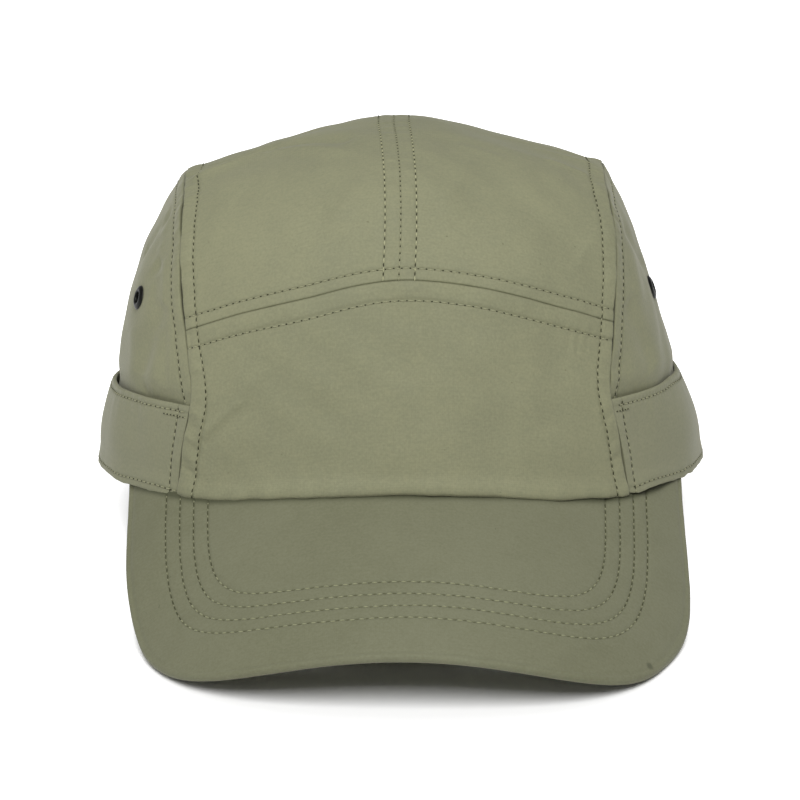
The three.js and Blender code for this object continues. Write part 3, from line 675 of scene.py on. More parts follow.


# shade is the colour of the lint flecks and of the painted shade at seams and rows.
def woven_cloth(name, light, dark, shade, spot=None):
    cloth = new_material(name)
    place = add(cloth, "ShaderNodeTexCoord")
    weave_place = add(cloth, "ShaderNodeMapping", Vector=place.outputs["UV"],
                      Scale=(1000 / THREADS, 1000 / THREADS, 1))
    warp = add(cloth, "ShaderNodeTexWave", {"bands_direction": "X"}, Vector=weave_place.outputs[0],
               Scale=ONE_BAND, Distortion=0.6, Detail=1.0)
    weft = add(cloth, "ShaderNodeTexWave", {"bands_direction": "Y"}, Vector=weave_place.outputs[0],
               Scale=ONE_BAND, Distortion=0.6, Detail=1.0)
    threads = add(cloth, "ShaderNodeMath", {"operation": "MAXIMUM"}, i0=warp.outputs["Fac"],
                  i1=weft.outputs["Fac"])
    small = add(cloth, "ShaderNodeTexNoise", Vector=place.outputs["Object"],
                Scale=1000 / MOTTLE_SMALL, Detail=3.0, Roughness=0.6)
    large = add(cloth, "ShaderNodeTexNoise", Vector=place.outputs["Object"],
                Scale=1000 / MOTTLE_LARGE, Detail=2.0, Roughness=0.5)
    slub_place = add(cloth, "ShaderNodeMapping", Vector=place.outputs["UV"],
                     Scale=(1000 / SLUB_LENGTH, 1000 / SLUB_WIDTH, 1))
    slub = add(cloth, "ShaderNodeTexNoise", Vector=slub_place.outputs[0], Scale=1.0, Detail=2.0)
    sum_one = add(cloth, "ShaderNodeMath", {"operation": "MULTIPLY_ADD"},
                  i0=small.outputs["Fac"], i1=MOTTLE_WEIGHT, i2=large.outputs["Fac"])
    sum_two = add(cloth, "ShaderNodeMath", {"operation": "MULTIPLY_ADD"}, i0=slub.outputs["Fac"],
                  i1=SLUB_WEIGHT, i2=sum_one.outputs[0])
    speckle = add(cloth, "ShaderNodeTexNoise", Vector=place.outputs["Object"],
                  Scale=1000 / SPECKLE, Detail=1.0)
    sum_three = add(cloth, "ShaderNodeMath", {"operation": "MULTIPLY_ADD"},
                    i0=speckle.outputs["Fac"], i1=SPECKLE_WEIGHT, i2=sum_two.outputs[0])
    spread = add(cloth, "ShaderNodeMapRange", Value=sum_three.outputs[0], From_Min=DYE_DARK,
                 From_Max=DYE_LIGHT, To_Min=0.0, To_Max=1.0)
    dye = add(cloth, "ShaderNodeMix", {"data_type": "RGBA"}, i0=spread.outputs[0],
              i6=linear(dark), i7=linear(light))
    lint = add(cloth, "ShaderNodeTexNoise", Vector=place.outputs["Object"],
               Scale=1000 / FLECK, Detail=0.0)
    fleck = add(cloth, "ShaderNodeMapRange", Value=lint.outputs["Fac"], From_Min=0.86,
                From_Max=0.93, To_Min=0.0, To_Max=0.4)
    flecked = add(cloth, "ShaderNodeMix", {"data_type": "RGBA"}, i0=fleck.outputs[0],
                  i6=dye.outputs[2], i7=linear(shade))
    # This attribute paints shade into the colour along seams and rows of stitches.
    painted_seam_shade = add(cloth, "ShaderNodeAttribute", {"attribute_name": "painted_seam_shade"})
    shaded = add(cloth, "ShaderNodeMix", {"data_type": "RGBA"}, i0=painted_seam_shade.outputs["Fac"],
                 i6=flecked.outputs[2], i7=linear(shade))
    colour = shaded.outputs[2]
    if spot:
        away = add(cloth, "ShaderNodeVectorMath", {"operation": "DISTANCE"},
                   i0=place.outputs["Object"], i1=spot)
        mark = add(cloth, "ShaderNodeMapRange", Value=away.outputs["Value"],
                   From_Min=SPOT_CORE / 1000, From_Max=SPOT_REACH / 1000, To_Min=0.6, To_Max=0.0)
        marked = add(cloth, "ShaderNodeMix", {"data_type": "RGBA"}, i0=mark.outputs[0],
                     i6=colour, i7=linear("#3f4130"))
        colour = marked.outputs[2]
    rough = add(cloth, "ShaderNodeMapRange", Value=small.outputs["Fac"], From_Min=0.3,
                From_Max=0.7, To_Min=0.7, To_Max=0.86)
    relief = add(cloth, "ShaderNodeMath", {"operation": "MULTIPLY_ADD"}, i0=slub.outputs["Fac"],
                 i1=SLUB_RELIEF, i2=threads.outputs[0])
    bump = add(cloth, "ShaderNodeBump", Height=relief.outputs[0], Strength=0.14, Distance=0.0001)
    shader = add(cloth, "ShaderNodeBsdfPrincipled", Base_Color=colour,
                 Roughness=rough.outputs[0], Normal=bump.outputs[0], Sheen_Weight=0.24,
                 Sheen_Roughness=0.4, Sheen_Tint=linear("#d8d6d0"), Specular_IOR_Level=0.3)
    add(cloth, "ShaderNodeOutputMaterial", Surface=shader.outputs[0])
    return cloth


crown_cloth = woven_cloth("olive_nylon_plain_weave", "#848468", "#77785f", "#484931")
band_cloth = woven_cloth("olive_nylon_band", "#828269", "#777860", "#484931")
dark_spot = at_rest(peak_point(np.array(SPOT_ASIDE), np.array(SPOT_FORWARD), 0.0))
peak_cloth = woven_cloth("olive_nylon_peak", "#6f705a", "#65664f", "#3d3f2b", spot=tuple(dark_spot))

# %% [markdown]
# ## Thread and eyelet metal
# The thread is spun polyester, matt and dyed to go with the cloth. Beside the centre seam and
# along the front of the peak it is painted lighter, a painted highlight. Where it dips into a needle
# hole it lies in shade, which a small dark blob of painted shade stands for, fainter along the front
# of the peak. The eyelets are brass with a black oxide on it, dark with a soft gloss. All of these
# have the same fine grain.

# %% Thread and eyelet metal
def plain_finish(name, colour, roughness, metallic=0.0, sheen=0.0):
    finish = new_material(name)
    place = add(finish, "ShaderNodeTexCoord")
    grain = add(finish, "ShaderNodeTexNoise", Vector=place.outputs["Object"], Scale=2500.0,
                Detail=2.0)
    rough = add(finish, "ShaderNodeMapRange", Value=grain.outputs["Fac"], From_Min=0.3,
                From_Max=0.7, To_Min=roughness - 0.08, To_Max=roughness + 0.08)
    bump = add(finish, "ShaderNodeBump", Height=grain.outputs["Fac"], Strength=0.15,
               Distance=0.00005)
    shader = add(finish, "ShaderNodeBsdfPrincipled", Base_Color=linear(colour),
                 Roughness=rough.outputs[0], Normal=bump.outputs[0], Metallic=metallic,
                 Sheen_Weight=sheen)
    add(finish, "ShaderNodeOutputMaterial", Surface=shader.outputs[0])
    return finish


crown_thread = plain_finish("spun_polyester_thread", "#858567", 0.65, sheen=0.1)
# Lighter copies of the thread, beside the centre seam and along the front of the peak, are a painted
# highlight.
centre_thread_painted_highlight = plain_finish("spun_polyester_thread_centre_painted_highlight", "#9b9b78", 0.65, sheen=0.1)
peak_thread = plain_finish("spun_polyester_thread_peak", "#797a5b", 0.65, sheen=0.1)
peak_front_thread_painted_highlight = plain_finish("spun_polyester_thread_peak_front_painted_highlight", "#838465", 0.65, sheen=0.1)
painted_hole_shade = plain_finish("needle_hole_shade", "#33341f", 0.9)
painted_peak_hole_shade = plain_finish("needle_hole_shade_peak", "#414229", 0.9)
# A fainter copy of the painted hole shade, for the front of the peak.
painted_peak_front_hole_shade = plain_finish("needle_hole_shade_peak_front", "#5b5c43", 0.9)
eyelet_finish = plain_finish("black_oxide_brass", "#1a1b18", 0.36, metallic=0.7)
print("materials", [m.name for m in bpy.data.materials if m.name.split("_")[0] != "cad"][:12])


# %% [markdown]
# ## Crown panels
# Each panel starts as a flat grid, as a cutter would start from flat cloth. Its corners are then
# laid on the form, closer together near the seams, where the cloth has its finest shape. A
# solidify modifier gives the cloth its thickness on the inside, and is applied.

# %% Grid, finish and panels
def flat_grid(name, columns, rows):
    """A grid from the grid operator, with the shares from 0 to 1 of each of its corners."""
    bpy.ops.object.select_all(action="DESELECT")
    bpy.ops.mesh.primitive_grid_add(x_subdivisions=columns, y_subdivisions=rows, size=2)
    piece = bpy.context.object
    piece.name = name
    flat = np.empty(len(piece.data.vertices) * 3)
    piece.data.vertices.foreach_get("co", flat)
    flat = flat.reshape(-1, 3)
    return piece, (flat[:, 0] + 1) / 2, (flat[:, 1] + 1) / 2


# How strong and how wide the painted shade is at a seam and along a row of stitches
SEAM_SHADE, ROW_SHADE, SEAM_SHADE_WIDTH, ROW_SHADE_WIDTH = 0.9, 0.22, 0.24, 0.35


def lay(piece, places, near, rows, flat, seam_shade_strength=SEAM_SHADE):
    """Moves a piece's corners to their places. near and rows are their distances to a seam and to
    a row of stitches, which set the painted shade there, and flat is their place on the flat cloth."""
    mesh = piece.data
    mesh.vertices.foreach_set("co", np.ascontiguousarray(places, dtype=np.float32).ravel())
    shade = seam_shade_strength * hump(near, SEAM_SHADE_WIDTH) + ROW_SHADE * hump(rows, ROW_SHADE_WIDTH)
    mesh.attributes.new("painted_seam_shade", "FLOAT", "POINT")
    mesh.attributes["painted_seam_shade"].data.foreach_set("value", np.clip(shade, 0, 1).astype(np.float32))
    loops = np.empty(len(mesh.loops), dtype=np.int32)
    mesh.loops.foreach_get("vertex_index", loops)
    mesh.uv_layers[0].data.foreach_set("uv", flat[loops].astype(np.float32).ravel())
    mesh.update()


def cloth_wall(piece):
    """Thickness on the inside, smooth shading and normals that point out."""
    bpy.ops.object.select_all(action="DESELECT")
    piece.select_set(True)
    bpy.context.view_layer.objects.active = piece
    wall = piece.modifiers.new("wall", "SOLIDIFY")
    wall.thickness, wall.offset = CLOTH / 1000, -1
    bpy.ops.object.modifier_apply(modifier="wall")
    bpy.ops.object.shade_smooth_by_angle(angle=math.radians(50))


def hand_in(piece, nodes, material):
    piece.data.materials.clear()
    piece.data.materials.append(material)
    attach(piece, "root")
    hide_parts(*nodes)
    print(piece.name, "triangles", sum(len(p.vertices) - 2 for p in piece.data.polygons))


FINE = 1.0


def steps(number):
    return int(number * FINE)


# Faces across and up each panel, and metres of flat cloth for half the strip's width, for a row
# of the strip, for a row of a side panel and for a side panel's height
FRONT_FACES = steps(210), steps(112)
TOP_FACES = steps(84), steps(400)
SIDE_FACES = steps(400), steps(92)
HALF_STRIP, STRIP_ROW, SIDE_PANEL_ROW, SIDE_PANEL_UP = 0.067, 0.0245, 0.023, 0.0965
PAST_SEAM, TOP_EASE = 1e-4, 0.35

panel, u, v = flat_grid("front_panel_cloth", *FRONT_FACES)
across = mix(-1, 1, both_ends(u))
along = arc_row(across) * far_end(v)
places, near, rows = strip_surface(along, across)
lay(panel, places, near, rows, np.stack([across * HALF_STRIP, along * STRIP_ROW], -1))
cloth_wall(panel)
hand_in(panel, ["front_panel"], crown_cloth)

for side, name in ((-1, "left"), (1, "right")):
    panel, u, v = flat_grid(f"top_panel_{name}_cloth", *TOP_FACES)
    share = both_ends(u) if side > 0 else both_ends(1 - u)
    first = arc_row(mix(0, side, share)) + PAST_SEAM
    along = LAST_ROW - (LAST_ROW - first) * far_end(1 - v, TOP_EASE)
    across = mix(centre_share(along), side, share)
    first = arc_row(across) + PAST_SEAM
    along = LAST_ROW - (LAST_ROW - first) * far_end(1 - v, TOP_EASE)
    places, near, rows = strip_surface(along, across)
    lay(panel, places, near, rows, np.stack([across * HALF_STRIP, along * STRIP_ROW], -1))
    cloth_wall(panel)
    hand_in(panel, [f"top_panel_{name}"], crown_cloth)


# %% Side panels, with a hole cut for each eyelet's barrel
SIDE_END, HOLE_CLEARANCE = 0.07, 0.3
for side, name in ((-1, "left"), (1, "right")):
    panel, u, v = flat_grid(f"side_panel_{name}_cloth", *SIDE_FACES)
    along = mix(SIDE_END, LAST_ROW - SIDE_END, u if side > 0 else 1 - u)
    up = far_end(v)
    places, near, rows = side_surface(side, along, up)
    lay(panel, places, near, rows, np.stack([along * SIDE_PANEL_ROW, up * SIDE_PANEL_UP], -1))
    seat = Vector(side_surface(side, *[np.array([n]) for n in eyelet_seat(side)])[0][0])
    bpy.ops.object.mode_set(mode="EDIT")
    bpy.ops.mesh.select_all(action="DESELECT")
    bpy.ops.object.mode_set(mode="OBJECT")
    reach = (EYELET_HOLE / 2 + EYELET_WALL + HOLE_CLEARANCE) / 1000
    for vertex in panel.data.vertices:
        vertex.select = (vertex.co - seat).length < reach
    bpy.ops.object.mode_set(mode="EDIT")
    bpy.ops.mesh.delete(type="VERT")
    bpy.ops.object.mode_set(mode="OBJECT")
    cloth_wall(panel)
    hand_in(panel, [f"side_panel_{name}"], crown_cloth)

# %% [markdown]
# ## Band
# The band is a folded strip round the sides and the back, sewn into the front seams. It is laid
# as a closed section: up the outer face, over the folded top edge, down the inner face and
# round the lip. The section is carried round the rim, its first and last rows are merged, and
# its two ends are closed.

# %% Band surface
# The band's run is its length in millimetres, rounded up. BAND_SIDE is the share of it along each
# side panel. The rest lies on the top panels, round the back.
BAND_RUN, BAND_SIDE, HALVINGS = 440.0, 20 / 54, 36
SEAM_ROWS_UP = np.linspace(0, TOP_ROW, 3000)
SEAM_ROWS_DOWN = np.linspace(LAST_ROW, TOP_ROW, 3000)


def band_place(station, height):
    """A point of the crown at a height over the rim, from the left seam round the back."""
    station, risen = np.broadcast_arrays(np.asarray(station, float), np.maximum(height, 0.01))
    front = np.interp(risen, seam_point(SEAM_ROWS_UP)[:, 2], SEAM_ROWS_UP)
    back = np.interp(risen, seam_point(SEAM_ROWS_DOWN)[:, 2], SEAM_ROWS_DOWN)
    first, second = BAND_SIDE, 1 - BAND_SIDE
    points = np.empty(station.shape + (3,))
    for side, here, share in ((-1, station <= first, station / first),
                              (1, station >= second, (1 - station) / (1 - second))):
        along = mix(front, back, share)[here]
        up = np.clip(risen[here] / seam_point(along)[..., 2], 0, 1)
        points[here] = side_point(side, along, up)
    here = (station > first) & (station < second)
    across = mix(-1, 1, (station[here] - first) / (second - first))
    low, high = np.full(across.shape, float(TOP_ROW)), np.full(across.shape, float(LAST_ROW))
    for _ in range(HALVINGS):
        middle = (low + high) / 2
        over = strip_point(middle, across)[..., 2] > risen[here]
        low, high = np.where(over, middle, low), np.where(over, high, middle)
    points[here] = strip_point(low, across)
    return points


END_ROW_LEFT, END_ROW_LEFT_LOW, END_ROW_RIGHT = 3.2, 4.9, 4.6
LEFT_END_DIP, RIGHT_END_RISE, BAR_TACK_DROP = 1.1, 1.3, 1.7
HEM_ROW, LIP_ROW, BULGE_EASE = BAND_HEIGHT - 2.2, 2.1, 7 / 54


def end_row_offset(station, height):
    """How far from the band's ends the upright rows of stitches run."""
    left = mix(END_ROW_LEFT_LOW, END_ROW_LEFT, smooth(height / BAND_HEIGHT, 0, 0.5))
    return np.where(station < 0.5, left, END_ROW_RIGHT)


def band_surface(station, height, layer, lift=0.0):
    """layer is 1 on the outer face and 0 on the inner one."""
    points = band_place(station, height)
    run = np.minimum(station, 1 - station) * BAND_RUN
    ends = smooth(run, 0, 8)
    share = np.clip(height / BAND_HEIGHT, 0, 1)
    lip = BAND_LIP * (1 - smooth(share, 0, 0.25))
    stand = BAND_STAND * smooth(share, 0.6, 1)
    fullest = mix(LEFT_BULGE, RIGHT_BULGE, smooth(station, 0.3, 0.7))
    bulge = fullest * np.sin(np.pi * share) * smooth(run / BAND_RUN, 0, BULGE_EASE)
    depth = (lip + stand) * ends + bulge
    around = np.stack([station * BAND_RUN, height], -1)
    relief = 0.25 * waves(around * [1, 0.5], 30, 31) * smooth(run, 0, 20)
    relief += 0.08 * waves(around * [1, 0.25], 8, 32) * hump(height - BAND_HEIGHT, 9)
    relief -= 0.22 * hump(height - HEM_ROW, 0.6) + 0.2 * hump(height - LIP_ROW, 0.6)
    relief += 0.1 * np.cos(2 * np.pi * around[..., 0] / BAND_PITCH) * hump(height - HEM_ROW, 1)
    relief += 0.08 * waves(around * [1, 0.2], 6, 33) * hump(height - 1, 3)
    end_row = end_row_offset(station, height)
    seam = sewn(run, height, end_row, SIDE_PITCH, 33, ditch=0.12, gather=0.5)
    relief = relief * smooth(run, 0, 3) + seam
    out = depth + relief * mix(0.4, 1, layer) + (layer - 1) * CLOTH + lift
    raised = points + outward(points) * out[..., None]
    raised[..., 2] += hump(height, 6) * np.where(station < 0.5, -LEFT_END_DIP * hump(run, 8),
                                                 RIGHT_END_RISE * hump(run - 20, 15))
    rows = np.minimum(np.abs(run - end_row), np.minimum(np.abs(height - HEM_ROW),
                                                         np.abs(height - LIP_ROW)))
    return at_rest(settle(raised)), run, rows


# %% Band mesh
def close_section():
    """Merges the first and last rows of the active piece, fills its ends and turns its faces out."""
    bpy.ops.object.mode_set(mode="EDIT")
    bpy.ops.mesh.select_all(action="SELECT")
    bpy.ops.mesh.remove_doubles(threshold=1e-6)
    bpy.ops.mesh.select_all(action="DESELECT")
    bpy.ops.mesh.select_non_manifold()
    bpy.ops.mesh.fill_holes(sides=0)
    bpy.ops.mesh.select_all(action="SELECT")
    bpy.ops.mesh.normals_make_consistent(inside=False)
    bpy.ops.object.mode_set(mode="OBJECT")
    bpy.ops.object.shade_smooth_by_angle(angle=math.radians(60))


BAND_FACES_ROUND, BAND_FACES_UP, BAND_END, BAND_EASE = steps(560), steps(58), 0.0003, 0.86
# The band's ends get a fainter painted seam shade.
BAND_SEAM_SHADE = 0.3
edge = CLOTH / 2
turn = np.linspace(0, np.pi, 7)[1:-1]
rise = np.linspace(edge, BAND_HEIGHT - edge, BAND_FACES_UP)
section_height = np.concatenate([rise, BAND_HEIGHT - edge + edge * np.sin(turn), rise[::-1],
                                 edge - edge * np.sin(turn), rise[:1]])
section_layer = np.concatenate([np.ones(len(rise)), 0.5 + 0.5 * np.cos(turn),
                                np.zeros(len(rise)), 0.5 - 0.5 * np.cos(turn), [1.0]])
band, u, v = flat_grid("side_band_cloth", BAND_FACES_ROUND, len(section_height) - 1)
index = np.rint(v * (len(section_height) - 1)).astype(int)
station = mix(BAND_END, 1 - BAND_END, both_ends(1 - u, BAND_EASE))
places, near, rows = band_surface(station, section_height[index], section_layer[index])
flat = np.stack([station * BAND_RUN, section_height[index]], -1) / 1000
lay(band, places, near, rows, flat, BAND_SEAM_SHADE)
close_section()
hand_in(band, ["side_band"], band_cloth)

# %% [markdown]
# ## Peak
# The peak is two layers of cloth over a stiff board, sewn together by four rows that follow its
# edge. Its outline is a rounded oblong, bent round a large cylinder. The rows pull narrow
# valleys into it and the cloth stands up softly between them. It is laid as a closed section
# too: out over the top, round the edge and back underneath.

# %% Peak outline and rows
ROW_INSET, ROW_FRONT_INSET, ROW_STEP, ROW_COUNT, ROW_SHIFT = 16.9, 17.5, 5.2, 4, -0.8
ROW_RISE_LEFT, ROW_DROP_RIGHT, ROW_CORNER, ROW_CORNER_STEP = 2.0, 0.5, 4.7, 0.3


def rim_forward(lateral, inside):
    """How far forward, down the peak's slope, an ellipse inside the rim lies."""
    angle = lateral / PEAK_RADIUS
    share = np.clip((PEAK_SHIFT + PEAK_RADIUS * np.sin(angle)) / (HALF_WIDTH - inside), -1, 1)
    y = -(HALF_LENGTH - inside) * np.sqrt(1 - share ** 2)
    drop = PEAK_RADIUS * (1 - np.cos(angle))
    return (drop * math.sin(PEAK_PITCH) - HALF_LENGTH - y) / math.cos(PEAK_PITCH)


def peak_oblong(reach, length, corner, count):
    """Points spread evenly along a rounded oblong, from the left wing to the right one."""
    angle = np.pi * (1 - np.linspace(0, 1, 3001))
    cos, sin = np.cos(angle), np.sin(angle)
    lateral = reach * np.sign(cos) * np.abs(cos) ** (2 / corner)
    base = rim_forward(np.sign(cos) * PEAK_REACH, 0)
    forward = mix(base, length, np.abs(sin) ** (2 / corner))
    fine = np.stack([lateral, forward], -1)
    run = runs(fine)
    even = np.linspace(0, run[-1], count)
    return np.stack([np.interp(even, run, fine[:, k]) for k in (0, 1)], -1)


def peak_row(number):
    """One row of stitches, higher at the left than at the right, as it was sewn."""
    inset, front_inset = ROW_INSET + ROW_STEP * number, ROW_FRONT_INSET + ROW_STEP * number
    corner = ROW_CORNER + ROW_CORNER_STEP * number
    curve = peak_oblong(PEAK_REACH - inset, PEAK_LENGTH - front_inset, corner, 1600)
    share = curve[:, 0] / PEAK_REACH
    ahead = ROW_DROP_RIGHT * smooth(share, 0.2, 0.7) - ROW_RISE_LEFT * smooth(-share, 0.1, 0.65)
    return curve + np.stack([np.full(len(curve), ROW_SHIFT), ahead], -1)


peak_rows = [peak_row(number) for number in range(ROW_COUNT)]
PEAK_EDGE = peak_oblong(PEAK_REACH, PEAK_LENGTH, PEAK_CORNER, 2400)


def peak_relief(flat):
    """Height over the plain peak, with the distance to its nearest row of stitches."""
    edge_away = from_curve(flat, PEAK_EDGE)[0]
    height = -0.22 * hump(edge_away - 2.4, 0.8) + 0.15 * hump(edge_away - 1.0, 0.9)
    nearest = np.full(edge_away.shape, 99.0)
    for number, curve in enumerate(peak_rows):
        away, run = from_curve(flat, curve)
        height -= 0.22 * hump(away, 0.65)
        height += 0.07 * np.cos(2 * np.pi * run / PEAK_PITCH_ROW) * hump(away, 0.8)
        height += 0.07 * waves(np.stack([run, away * 0.3], -1), 5, 40 + number) * hump(away, 3)
        nearest = np.minimum(nearest, away)
    height += 0.16 * waves(flat, 38, 47) + 0.05 * waves(flat, 11, 48)
    return height, nearest


def peak_surface(lateral, forward, lift=0.0):
    flat = np.stack(np.broadcast_arrays(lateral, forward), -1)
    height, nearest = peak_relief(flat)
    return at_rest(peak_point(lateral, forward, -height - lift)), nearest


# %% Peak mesh, with painted shade at its root, as at a seam
around_steps, top_steps, under_steps = steps(500), steps(132), steps(44)
# ROOT_NEAR and ROOT_SPREAD paint shade on the peak near its root, where the rim above shades it.
ROOT_NEAR, ROOT_SPREAD = 0.06, 0.14
radius = PEAK_THICKNESS / 2
turn = np.linspace(0, np.pi, 9)
section_share = np.concatenate([np.linspace(0, 1, top_steps), np.ones(7),
                                np.linspace(1, 0, under_steps), [0.0]])
section_out = np.concatenate([np.zeros(top_steps), radius * np.sin(turn[1:-1]),
                              np.zeros(under_steps), [0.0]])
section_depth = np.concatenate([np.zeros(top_steps), radius - radius * np.cos(turn[1:-1]),
                                np.full(under_steps, PEAK_THICKNESS), [0.0]])
peak, u, v = flat_grid("peak_cloth", around_steps, len(section_share) - 1)
outline = peak_oblong(PEAK_REACH, PEAK_LENGTH, PEAK_CORNER, around_steps + 1)
station = np.rint((1 - u) * around_steps).astype(int)
index = np.rint(v * (len(section_share) - 1)).astype(int)
inner_reach = PEAK_REACH - PEAK_TUCK - CLOTH
inner_side = mix(-inner_reach, inner_reach, 1 - u)
inner = np.stack([inner_side, rim_forward(inner_side, PEAK_TUCK)], -1)
outer = outline[station]
span = np.linalg.norm(outer - inner, axis=1)
share = section_share[index] * (1 - radius / span) + section_out[index] / span
flat = inner + (outer - inner) * share[:, None]
height, nearest = peak_relief(flat)
under = section_depth[index] / PEAK_THICKNESS
depth = section_depth[index] - height * (1 - under) + 0.5 * height * under
from_rim = np.maximum(flat[:, 1] - rim_forward(flat[:, 0], 0), 0)
places = at_rest(peak_point(flat[:, 0], flat[:, 1], depth))
lay(peak, places, ROOT_NEAR + from_rim * ROOT_SPREAD, nearest, flat / 1000)
close_section()
hand_in(peak, ["peak"], peak_cloth)

# %% [markdown]
# ## Stitches
# A row of lockstitch shows as short lengths of thread that dip into a needle hole at each end.
# One stitch and its hole are modelled once from two spheres, drawn out long and thin; the hole's
# sphere is a dark blob of painted shade. An array modifier repeats it, and a curve modifier bends
# the array along the row's own line on the cloth.

# %% One stitch, and a function that sews a row
CROWN_THREAD_AND_SHADE = crown_thread, painted_hole_shade
CENTRE_THREAD_AND_SHADE = centre_thread_painted_highlight, painted_hole_shade
PEAK_THREAD_AND_SHADE = peak_thread, painted_peak_hole_shade
PEAK_FRONT_THREAD_AND_SHADE = peak_front_thread_painted_highlight, painted_peak_front_hole_shade


THREAD_RADIUS = 0.24


def one_stitch(pitch, hole_length, thread_and_hole_shade):
    bpy.ops.object.select_all(action="DESELECT")
    bpy.ops.mesh.primitive_uv_sphere_add(segments=6, ring_count=4, radius=1)
    thread = bpy.context.object
    bpy.ops.transform.resize(value=((pitch - hole_length) * 0.00056, THREAD_RADIUS / 1000,
                                    THREAD_RADIUS / 1000))
    bpy.ops.object.transform_apply(location=False, rotation=False, scale=True)
    thread.data.materials.append(thread_and_hole_shade[0])
    # The hole is a dark sphere of painted shade where the thread dips into the cloth.
    bpy.ops.mesh.primitive_uv_sphere_add(segments=6, ring_count=3, radius=1,
                                         location=(pitch * 0.0005, 0, 0))
    hole = bpy.context.object
    bpy.ops.transform.resize(value=(hole_length * 0.0005, THREAD_RADIUS / 1000,
                                    THREAD_RADIUS / 1000))
    bpy.ops.object.transform_apply(location=True, rotation=False, scale=True)
    hole.data.materials.append(thread_and_hole_shade[1])
    thread.select_set(True)
    bpy.context.view_layer.objects.active = thread
    bpy.ops.object.join()
    return thread


def sew(name, line, pitch, hole_length, thread_and_hole_shade=CROWN_THREAD_AND_SHADE):
    """Stitches along a line of points on the cloth."""
    guide_data = bpy.data.curves.new(name + "_guide", "CURVE")
    guide_data.dimensions = "3D"
    spline = guide_data.splines.new("POLY")
    spline.points.add(len(line) - 1)
    spline.points.foreach_set("co", np.c_[line, np.ones(len(line))].astype(np.float32).ravel())
    guide = bpy.data.objects.new(name + "_guide", guide_data)
    bpy.context.collection.objects.link(guide)
    length = runs(line)[-1] * 1000
    count = max(round(length / pitch), 1)
    pitch = length / count
    row = one_stitch(pitch, hole_length, thread_and_hole_shade)
    row.name = name
    repeat = row.modifiers.new("repeat", "ARRAY")
    repeat.use_relative_offset, repeat.use_constant_offset = False, True
    repeat.constant_offset_displace = (pitch / 1000, 0, 0)
    repeat.count = count
    follow = row.modifiers.new("follow", "CURVE")
    follow.object, follow.deform_axis = guide, "POS_X"
    bpy.ops.object.modifier_apply(modifier="repeat")
    bpy.ops.object.modifier_apply(modifier="follow")
    bpy.data.objects.remove(guide)
    return row


def join_rows(name, rows):
    bpy.ops.object.select_all(action="DESELECT")
    for row in rows:
        row.select_set(True)
    bpy.context.view_layer.objects.active = rows[0]
    bpy.ops.object.join()
    joined = bpy.context.object
    joined.name = name
    bpy.ops.object.shade_smooth()
    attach(joined, "root")
    print(name, "triangles", sum(len(p.vertices) - 2 for p in joined.data.polygons))


# How far the thread's middle stands out from the cloth, and where rows begin and end, as row
# numbers of the crown. The rows end under the band at the back.
PROUD, CENTRE_PROUD = 0.06, 0.1
FIRST_STITCH, OUTER_FIRST_STITCH, LAST_STITCH = 0.02, 2.0, 11.75


def strip_row(side, along, offset):
    """A line on the strip beside its left (-1) or right (1) side seam."""
    edge_point, inner_point = strip_point(along, 1.0), strip_point(along, 0.98)
    width = np.linalg.norm(edge_point - inner_point, axis=-1) / 0.02
    wider = strip_row_offset(strip_point(along, side)) - SIDE_ROW
    return strip_surface(along, side * (1 - (offset + wider) / width), lift=PROUD)[0]


def side_row(side, along, offset):
    """A line on a side panel beside its seam."""
    height = np.linalg.norm(side_point(side, along, 1.0) - side_point(side, along, 0.97), axis=-1)
    return side_surface(side, along, 1 - offset / (height / 0.03), lift=PROUD)[0]


# %% Sew the crown
crown_rows = []
for side, name in ((-1, "left"), (1, "right")):
    line = strip_row(side, np.linspace(FIRST_STITCH, LAST_STITCH, 1500), SIDE_ROW)
    crown_rows.append(sew(f"inner_row_{name}", line, SIDE_PITCH, LONG_HOLE))
    line = side_row(side, np.linspace(OUTER_FIRST_STITCH, LAST_STITCH, 1400), SIDE_ROW)
    crown_rows.append(sew(f"outer_row_{name}", line, SIDE_PITCH, LONG_HOLE))
    along = np.linspace(FRONT_SEAM + FIRST_STITCH, LAST_STITCH, 1200)
    across = centre_share(along) + side * CENTRE_ROW / seam_point(along)[:, 0]
    line = strip_surface(along, across, lift=PROUD)[0]
    crown_rows.append(sew(f"centre_row_{name}", line, CENTRE_PITCH, CENTRE_HOLE,
                          CENTRE_THREAD_AND_SHADE))
along = np.linspace(FRONT_SEAM + FIRST_STITCH, LAST_STITCH, 1200)
line = strip_surface(along, centre_share(along) + 1e-5, lift=CENTRE_PROUD)[0]
crown_rows.append(sew("centre_seam", line, SIDE_PITCH, SHORT_HOLE))
across = np.linspace(-0.985, 0.985, 900)
row_length = np.linalg.norm(strip_point(3.1, across) - strip_point(2.9, across), axis=-1) / 0.2
for name, offset, way in (("above", ARC_ROW_ABOVE, 1), ("below", ARC_ROW_BELOW, -1)):
    line = strip_surface(arc_row(across) + way * offset / row_length, across, lift=PROUD)[0]
    crown_rows.append(sew(f"arc_row_{name}", line, ARC_PITCH, SHORT_HOLE))
join_rows("crown_stitches", crown_rows)

